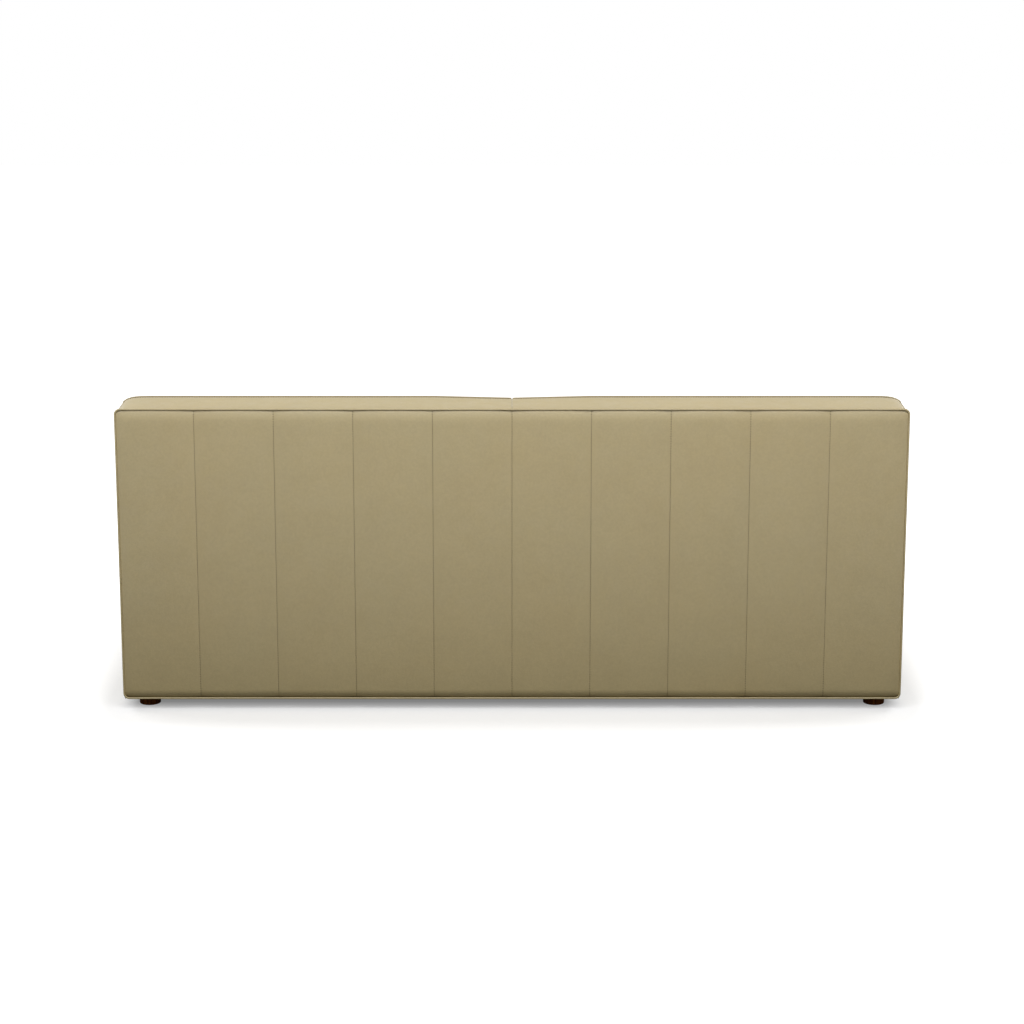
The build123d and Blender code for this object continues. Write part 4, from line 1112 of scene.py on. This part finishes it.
def dust_cover():
    x, y = grid(even(-TOP_END_X, TOP_END_X, DUST_STEP), even(DUST_FRONT_Y, DUST_REAR_Y, DUST_STEP))
    z = dust_height(x, y)
    inner = spots(x, y, z + DUST_THICKNESS)
    sheet = plate_piece("dust_sheet", spots(x, y, z), inner, material="dust_cloth")
    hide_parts("dust_cover")
    xs = even(-TOP_END_X + STAPLE_ENDS, TOP_END_X - STAPLE_ENDS, STAPLE_STEP)
    ys = even(DUST_FRONT_Y + STAPLE_ENDS, DUST_REAR_Y - STAPLE_ENDS, STAPLE_STEP)
    end_x = TOP_END_X - STAPLE_INSET
    end_ys = (DUST_FRONT_Y + STAPLE_INSET, DUST_REAR_Y - STAPLE_INSET)
    lines = [spots(xs, y, STAPLE_Z) for y in end_ys] + [spots(x, ys, STAPLE_Z) for x in (-end_x, end_x)]
    staples = sew("dust_sheet_staples", lines, (0, 0, -1), STAPLE, "steel")


# Webbing straps under the back's foam
STRAP_COUNT = 3
STRAP_OUT = GAP - PAD_DEPTH
STRAP_THICKNESS = 1.5
STRAP_WIDTH = 50.0
STRAP_X = 849.0
RIB_HEIGHT = 0.12
RIB_TURN = 2.5
RIB_SINK = 0.15
PAD_DROP = (TOP_FRONT_Z - SEAT_BASE_Z) / cos(LEAN)


def webbing():
    for i in range(STRAP_COUNT):
        middle = PAD_DROP * (i + 1) / (STRAP_COUNT + 1)
        down = middle + even(-STRAP_WIDTH / 2, STRAP_WIDTH / 2, step=8.0)
        x, down = grid(even(-STRAP_X, STRAP_X, step=20.0), down)
        ribs = RIB_HEIGHT * np.sin(down * RIB_TURN) - RIB_SINK
        outer = lean_points(x, down, STRAP_OUT + STRAP_THICKNESS + ribs)
        inner = lean_points(x, down, STRAP_OUT)
        strap = plate_piece(f"back_strap_{i + 1}", outer, inner, material="webbing")
        if i == 0:
            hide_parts("back_webbing")


# Cloth simulation for the pads and cushions
CLOTH_FRAMES = 20
CLOTH = {
    "quality": 6,
    "mass": 0.4,
    "tension_stiffness": 25.0,
    "compression_stiffness": 25.0,
    "shear_stiffness": 25.0,
    "bending_stiffness": 2.0,
    "use_pressure": True,
    "uniform_pressure_force": 5.0,
    "shrink_min": -0.012,
    "vertex_group_mass": "held",
}
STILL = 1e-9


def swell_cloth(piece, held, cap):
    """Blows a closed form up like a stuffed cover, held along its seams."""
    mesh = piece.data
    before = np.empty(len(mesh.vertices) * 3)
    mesh.vertices.foreach_get("co", before)
    group = piece.vertex_groups.new(name="held")
    group.add([int(i) for i in held], 1.0, "REPLACE")
    cloth = piece.modifiers.new("swelling", "CLOTH")
    for key, value in CLOTH.items():
        setattr(cloth.settings, key, value)
    cloth.settings.effector_weights.gravity = 0.0
    cloth.point_cache.frame_start = 1
    cloth.point_cache.frame_end = CLOTH_FRAMES
    scene = bpy.context.scene
    for number in range(1, CLOTH_FRAMES + 1):
        scene.frame_set(number)
    shaped = piece.evaluated_get(bpy.context.evaluated_depsgraph_get()).data
    after = np.empty_like(before)
    shaped.vertices.foreach_get("co", after)
    piece.modifiers.remove(cloth)
    piece.vertex_groups.remove(group)
    scene.frame_set(1)
    before = before.reshape(-1, 3)
    move = after.reshape(-1, 3) - before
    length = np.linalg.norm(move, axis=1, keepdims=True)
    limit = cap * MM
    move *= np.where(length > STILL, limit * np.tanh(length / limit) / np.maximum(length, STILL), 0.0)
    mesh.vertices.foreach_set("co", (before + move).reshape(-1))
    mesh.update()


def smooth_over(piece, creased):
    """Rounds a piece with one subdivision, keeping its seams sharp."""
    mesh = piece.data
    marked = np.zeros(len(mesh.vertices), bool)
    marked[creased] = True
    ends = np.empty(len(mesh.edges) * 2, int)
    mesh.edges.foreach_get("vertices", ends)
    sharp = marked[ends.reshape(-1, 2)].all(axis=1)
    mesh.attributes.new("crease_edge", "FLOAT", "EDGE").data.foreach_set("value", sharp.astype(float))
    rounding = piece.modifiers.new("rounding", "SUBSURF")
    rounding.levels = 1
    rounding.render_levels = 1


def stuffed_piece(name, points, faces, held, lines, seam, cap, body="frame"):
    """A closed cover that its filling swells between its seams, by no more than a cap."""
    piece = make_piece(name, points, outward(points, faces), body=body, seam=seam)
    held = np.concatenate(held + lines)
    swell_cloth(piece, np.unique(held[held >= 0]), cap)
    smooth_over(piece, np.unique(np.concatenate(lines)))
    return piece


# Inside back: four channels over each seat and an ear over each arm
CHANNEL_SEAMS = [SEAT_PITCH * k for k in range(1, 4)]
PAD_SEAMS = [0.5, *CHANNEL_SEAMS, ARM_INNER_X - 1]
PAD_SHARES = [0.6, 1.0, 1.0, 1.0, 0.6]
EAR_SEAMS = [PAD_SEAMS[-1], TOP_END_X]
EAR_SHARES = [0.6, 0.2]
PAD_BACK_OUT = STRAP_OUT + STRAP_THICKNESS + GAP
PAD_CROWN = 18.0
PAD_CHANNEL = 8.0
PAD_CAP = 12.0
PAD_TOP_EDGE = (34.0, 9.0, 2.0)
PAD_WAVES = (0.6, 140.0, 81)
EAR_WAVES = (0.6, 140.0, 85)
PAD_TOP_ROWS = np.array([0.0, 3.0, 7.0, 13.0, 21.0, 31.0])
PAD_LAYERS = 7
PAD_STITCH_LIFT = 0.9
PAD_SEWN = slice(3, -1)  # the points of a seam that are stitched
PAD_FURROW = 6.0
CHANNEL_STEP = 13.3
LENGTH_STEP = 12.5
FULL = 0.45  # how full a channel is before the cloth swells


def channel(x, seams):
    """How far each place is out of the seams beside it: 1 in a channel's middle."""
    return 1 - (2 * across(x, seams) - 1) ** 2


def pad_floor(x):
    return np.full_like(x, SEAT_BASE_Z)


def ear_floor(x):
    """The ear's lower edge, which follows the arm under it over its rounded inner edge."""
    inside = np.clip(ARM_INNER_X + ARM_EDGE - x, 0.0, ARM_EDGE)
    return ARM_HEIGHT + 2 * GAP - ARM_EDGE + np.sqrt(ARM_EDGE**2 - inside**2)


def back_pad(name, side, seams, shares, floor, replaced, waves):
    xs = between(seams, even, step=CHANNEL_STEP)
    length = (TOP_FRONT_Z - floor(xs[-1])) / cos(LEAN)
    vs = joined([PAD_TOP_ROWS, even(PAD_TOP_ROWS[-1], length, LENGTH_STEP)]) / length
    (x, v, w), faces, index = block(xs, vs, np.linspace(0.0, 1.0, PAD_LAYERS))
    crown = swell(v * length / PAD_DROP)
    bulge = PAD_CHANNEL * (1 + crown) / 2 * channel(x, seams) * FULL
    front = PAD_CROWN * crown * np.interp(x, seams, shares) + bulge
    front = front - edge_roll(v * length, *PAD_TOP_EDGE) + ripple(x, v * length, waves, side)
    out = PAD_BACK_OUT + w * (front - PAD_BACK_OUT)
    rear_z, front_z = strip_heights(x)
    slope = (front_z - rear_z) / TOP_DEPTH
    under = TOP_FRONT_Z - front_z + TOP_PANEL + GAP
    high = (under + out * (sin(LEAN) - slope * cos(LEAN))) / (cos(LEAN) + slope * sin(LEAN))
    low = (TOP_FRONT_Z - floor(x) + sin(LEAN) * out) / cos(LEAN)
    points = lean_points(side * x, high + v * (low - high), out)
    lines = [index[np.argmin(np.abs(xs - seam)), :, -1] for seam in seams]
    held = [index[[0, -1]].ravel(), index[:, [0, -1]].ravel(), index[:, :, 0].ravel()]
    # Painted shade beside the channel seams, on the front face.
    seam = np.where(w == 1, SEAM_SHADE * furrow(nearest(x, seams), PAD_FURROW), 0.0)
    piece = stuffed_piece(name, points, faces, held, lines, seam, PAD_CAP)
    if replaced:
        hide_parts(*replaced)
    return [points[line] for line in lines[1:-1]]


def inside_back(name, side):
    nodes = [f"inside_back_cover_{name}", f"inside_back_foam_{name}"]
    pad = f"inside_back_{name}"
    lines = back_pad(pad, side, PAD_SEAMS, PAD_SHARES, pad_floor, nodes, PAD_WAVES)
    normal = np.array([0, -cos(LEAN), sin(LEAN)])
    sewn = [line[PAD_SEWN] + normal * PAD_STITCH_LIFT for line in lines]
    sew(f"inside_back_stitches_{name}", sewn, normal)
    back_pad(f"inside_back_ear_{name}", side, EAR_SEAMS, EAR_SHARES, ear_floor, [], EAR_WAVES)


# Seat cushions: four channels that roll over the front edge, piped along both sides
CUSHION_SEAMS = [1.0, *CHANNEL_SEAMS, ARM_INNER_X - 2]
CUSHION_SHARES = [0.3, 1.0, 1.0, 1.0, 0.3]
CUSHION_OUT = 32.0  # the rear face's distance from the plane of the inside back
CUSHION_REAR_Y = back_y(SEAT_BASE_Z, CUSHION_OUT)
CUSHION_LENGTH = CUSHION_REAR_Y - CUSHION_FRONT_Y
CUSHION_CROWN = 14.0
CUSHION_CHANNEL = 7.0
CUSHION_CAP = 13.0
CUSHION_DRAW = 5.0
DRAW_POWER = 7
CUSHION_REACH = CUSHION_SEAMS[-1] - CUSHION_SEAMS[0]
CUSHION_WAVES = (0.8, 150.0, 91)
CUSHION_LAYERS = 10
FRONT_TURN = np.linspace(0, pi / 2, 7)
REAR_TURN = np.linspace(pi / 2, 0, 4)
SETTLE_LENGTH = 150.0  # over this the cushion comes to lean like the back
REAR_RECESS = 1.5  # the cover's rear face under the zip's
SEAT_STITCH_LIFT = np.array([0, -0.6, 0.6])
SEAT_SEWN = slice(1, -3)
SEAT_PIPING_SHIFT = np.array([2.4, 0.6, -0.6])


def seat_cushion(name, side):
    body = f"seat_cushion_{name}"
    xs = between(CUSHION_SEAMS, even, step=CHANNEL_STEP)
    ds = joined([
        FRONT_ROLL * (1 - np.cos(FRONT_TURN)),
        even(FRONT_ROLL, CUSHION_LENGTH - REAR_ROLL, LENGTH_STEP),
        CUSHION_LENGTH - REAR_ROLL * (1 - np.cos(REAR_TURN)),
    ])
    (x, d, h), faces, index = block(xs, ds, np.linspace(0.0, 1.0, CUSHION_LAYERS))
    share = d / CUSHION_LENGTH
    drop = roll_drop(d, FRONT_ROLL) + roll_drop(CUSHION_LENGTH - d, REAR_ROLL)
    top = CUSHION_HEIGHT - drop + CUSHION_CROWN * swell(share) * np.interp(x, CUSHION_SEAMS, CUSHION_SHARES)
    top = top + CUSHION_CHANNEL * FULL * channel(x, CUSHION_SEAMS) + ripple(x, d, CUSHION_WAVES, side)
    z = SEAT_BASE_Z + h * top
    settle = np.clip((d - CUSHION_LENGTH + SETTLE_LENGTH) / SETTLE_LENGTH, 0.0, 1.0)
    y = CUSHION_FRONT_Y + d + (z - SEAT_BASE_Z) * tan(LEAN) * settle * settle * (3 - 2 * settle)
    y = y - REAR_RECESS * (d == CUSHION_LENGTH)
    pull = (2 * (x - CUSHION_SEAMS[0]) / CUSHION_REACH - 1) ** DRAW_POWER
    points = spots(side * (x - CUSHION_DRAW * np.sin(pi * share) * pull), y, z)
    columns = [np.argmin(np.abs(xs - seam)) for seam in CUSHION_SEAMS]
    lines = [np.concatenate([index[column, 0, :], index[column, 1:, -1]]) for column in columns]
    held = [index[[0, -1]].ravel(), index[:, -1].ravel(), index[:, :, 0].ravel()]
    # Painted shade beside the channel seams, on the top and front.
    dark = SEAM_SHADE * furrow(nearest(x, CUSHION_SEAMS), PAD_FURROW)
    seam = np.where((h == 1) | (d == 0), dark, 0.0)
    cushion = stuffed_piece(f"seat_{name}", points, faces, held, lines, seam, CUSHION_CAP, body)
    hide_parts(f"seat_cover_{name}", f"seat_foam_{name}")
    sewn = [points[line][SEAT_SEWN] + SEAT_STITCH_LIFT for line in lines[1:-1]]
    sew(f"seat_stitches_{name}", sewn, (0, -1, 1), body=body)
    for edge, line, inward in (("inner", lines[0], side), ("outer", lines[-1], -side)):
        path = points[line[:-1]] + SEAT_PIPING_SHIFT * (inward, 1, 1)
        cord(f"seat_piping_{edge}_{name}", path, PIPING, (1, 0, 0), body)


# Zip across the cushion's rear face
ZIP_LENGTH = 640.0
ZIP_TAPE = 2.4
ZIP_SINK = 0.2
ZIP_END = 8.0
ZIP_UP = np.array([-4.5, -3.6, -2.2, -1.6, 1.6, 2.2, 3.6, 4.5])
ZIP_OUT = np.array([-0.5, -0.25, -0.3, -0.8, -0.8, -0.3, -0.25, -0.5])
TOOTH = (3.2, 3.0, 0.75)  # width on the tape, length and radius
TOOTH_PITCH = 2.6
TOOTH_SHIFT = 0.7


def zip_place(along, up, out, side):
    """A place on the cushion's rear face, from the zip's middle."""
    y = CUSHION_REAR_Y + sin(LEAN) * (CUSHION_HEIGHT / 2 + up) + cos(LEAN) * out
    z = SEAT_BASE_Z + cos(LEAN) * (CUSHION_HEIGHT / 2 + up) - sin(LEAN) * out
    return spots(side * (2 * SEAT_PITCH + along), y, z)


def seat_zip(name, side):
    body = f"seat_cushion_{name}"
    along, up = grid(even(-ZIP_LENGTH / 2, ZIP_LENGTH / 2, step=10.0), ZIP_UP)
    outer = zip_place(along, up, ZIP_OUT - ZIP_SINK, side)
    inner = zip_place(along, up, -ZIP_SINK - ZIP_TAPE, side)
    tape = plate_piece(f"zip_{name}", outer, inner, material="zip_tape", body=body)
    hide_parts(f"seat_zip_{name}")
    width, _, radius = TOOTH
    lines = []
    for i in range(int((ZIP_LENGTH - 2 * ZIP_END) / TOOTH_PITCH)):
        centre = -ZIP_LENGTH / 2 + ZIP_END + TOOTH_PITCH * i
        shift = TOOTH_SHIFT if i % 2 else -TOOTH_SHIFT
        ends = np.array([shift - width / 2, shift + width / 2])
        lines.append(zip_place(centre, ends, -ZIP_SINK - radius, side))
    sew(f"zip_teeth_{name}", lines, (0, cos(LEAN), -sin(LEAN)), TOOTH, "zip_metal", body)


rear_cover()
rear_welt()
front_border()
seat_deck()
dust_cover()
webbing()
for name, side in SIDES.items():
    top_strip(name, side)
    side_panel(name, side)
    arm_sleeve(name, side)
    arm_facing(name, side)
    inside_back(name, side)
    seat_cushion(name, side)
    seat_zip(name, side)

# Materials of the parts that stay as the CAD made them
CAD_MATERIALS = {
    "frame_wood": [
        "front_rail", "rear_seat_rail", "centre_rail", "base_rear_rail", "base_side_rail", "back_top_rail",
        "back_post", "back_post_centre", "corner_blocks",
        "inner_arm_panel", "arm_front_board", "arm_top_board",
    ],
    "fibreboard": ["outside_back_board"],
    "steel": ["seat_springs", "spring_clips", "tee_nuts", "hanger_bolts"],
    "nylon": ["foot_glides"],
    "foot_wood": ["foot_front", "foot_rear"],
    "zip_metal": ["zip_slider"],
}
for key, names in CAD_MATERIALS.items():
    for name in names:
        for node in (name, f"{name}_left", f"{name}_right"):
            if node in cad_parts:
                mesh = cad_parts[node].data
                mesh.materials.clear()
                mesh.materials.append(MATERIALS[key])
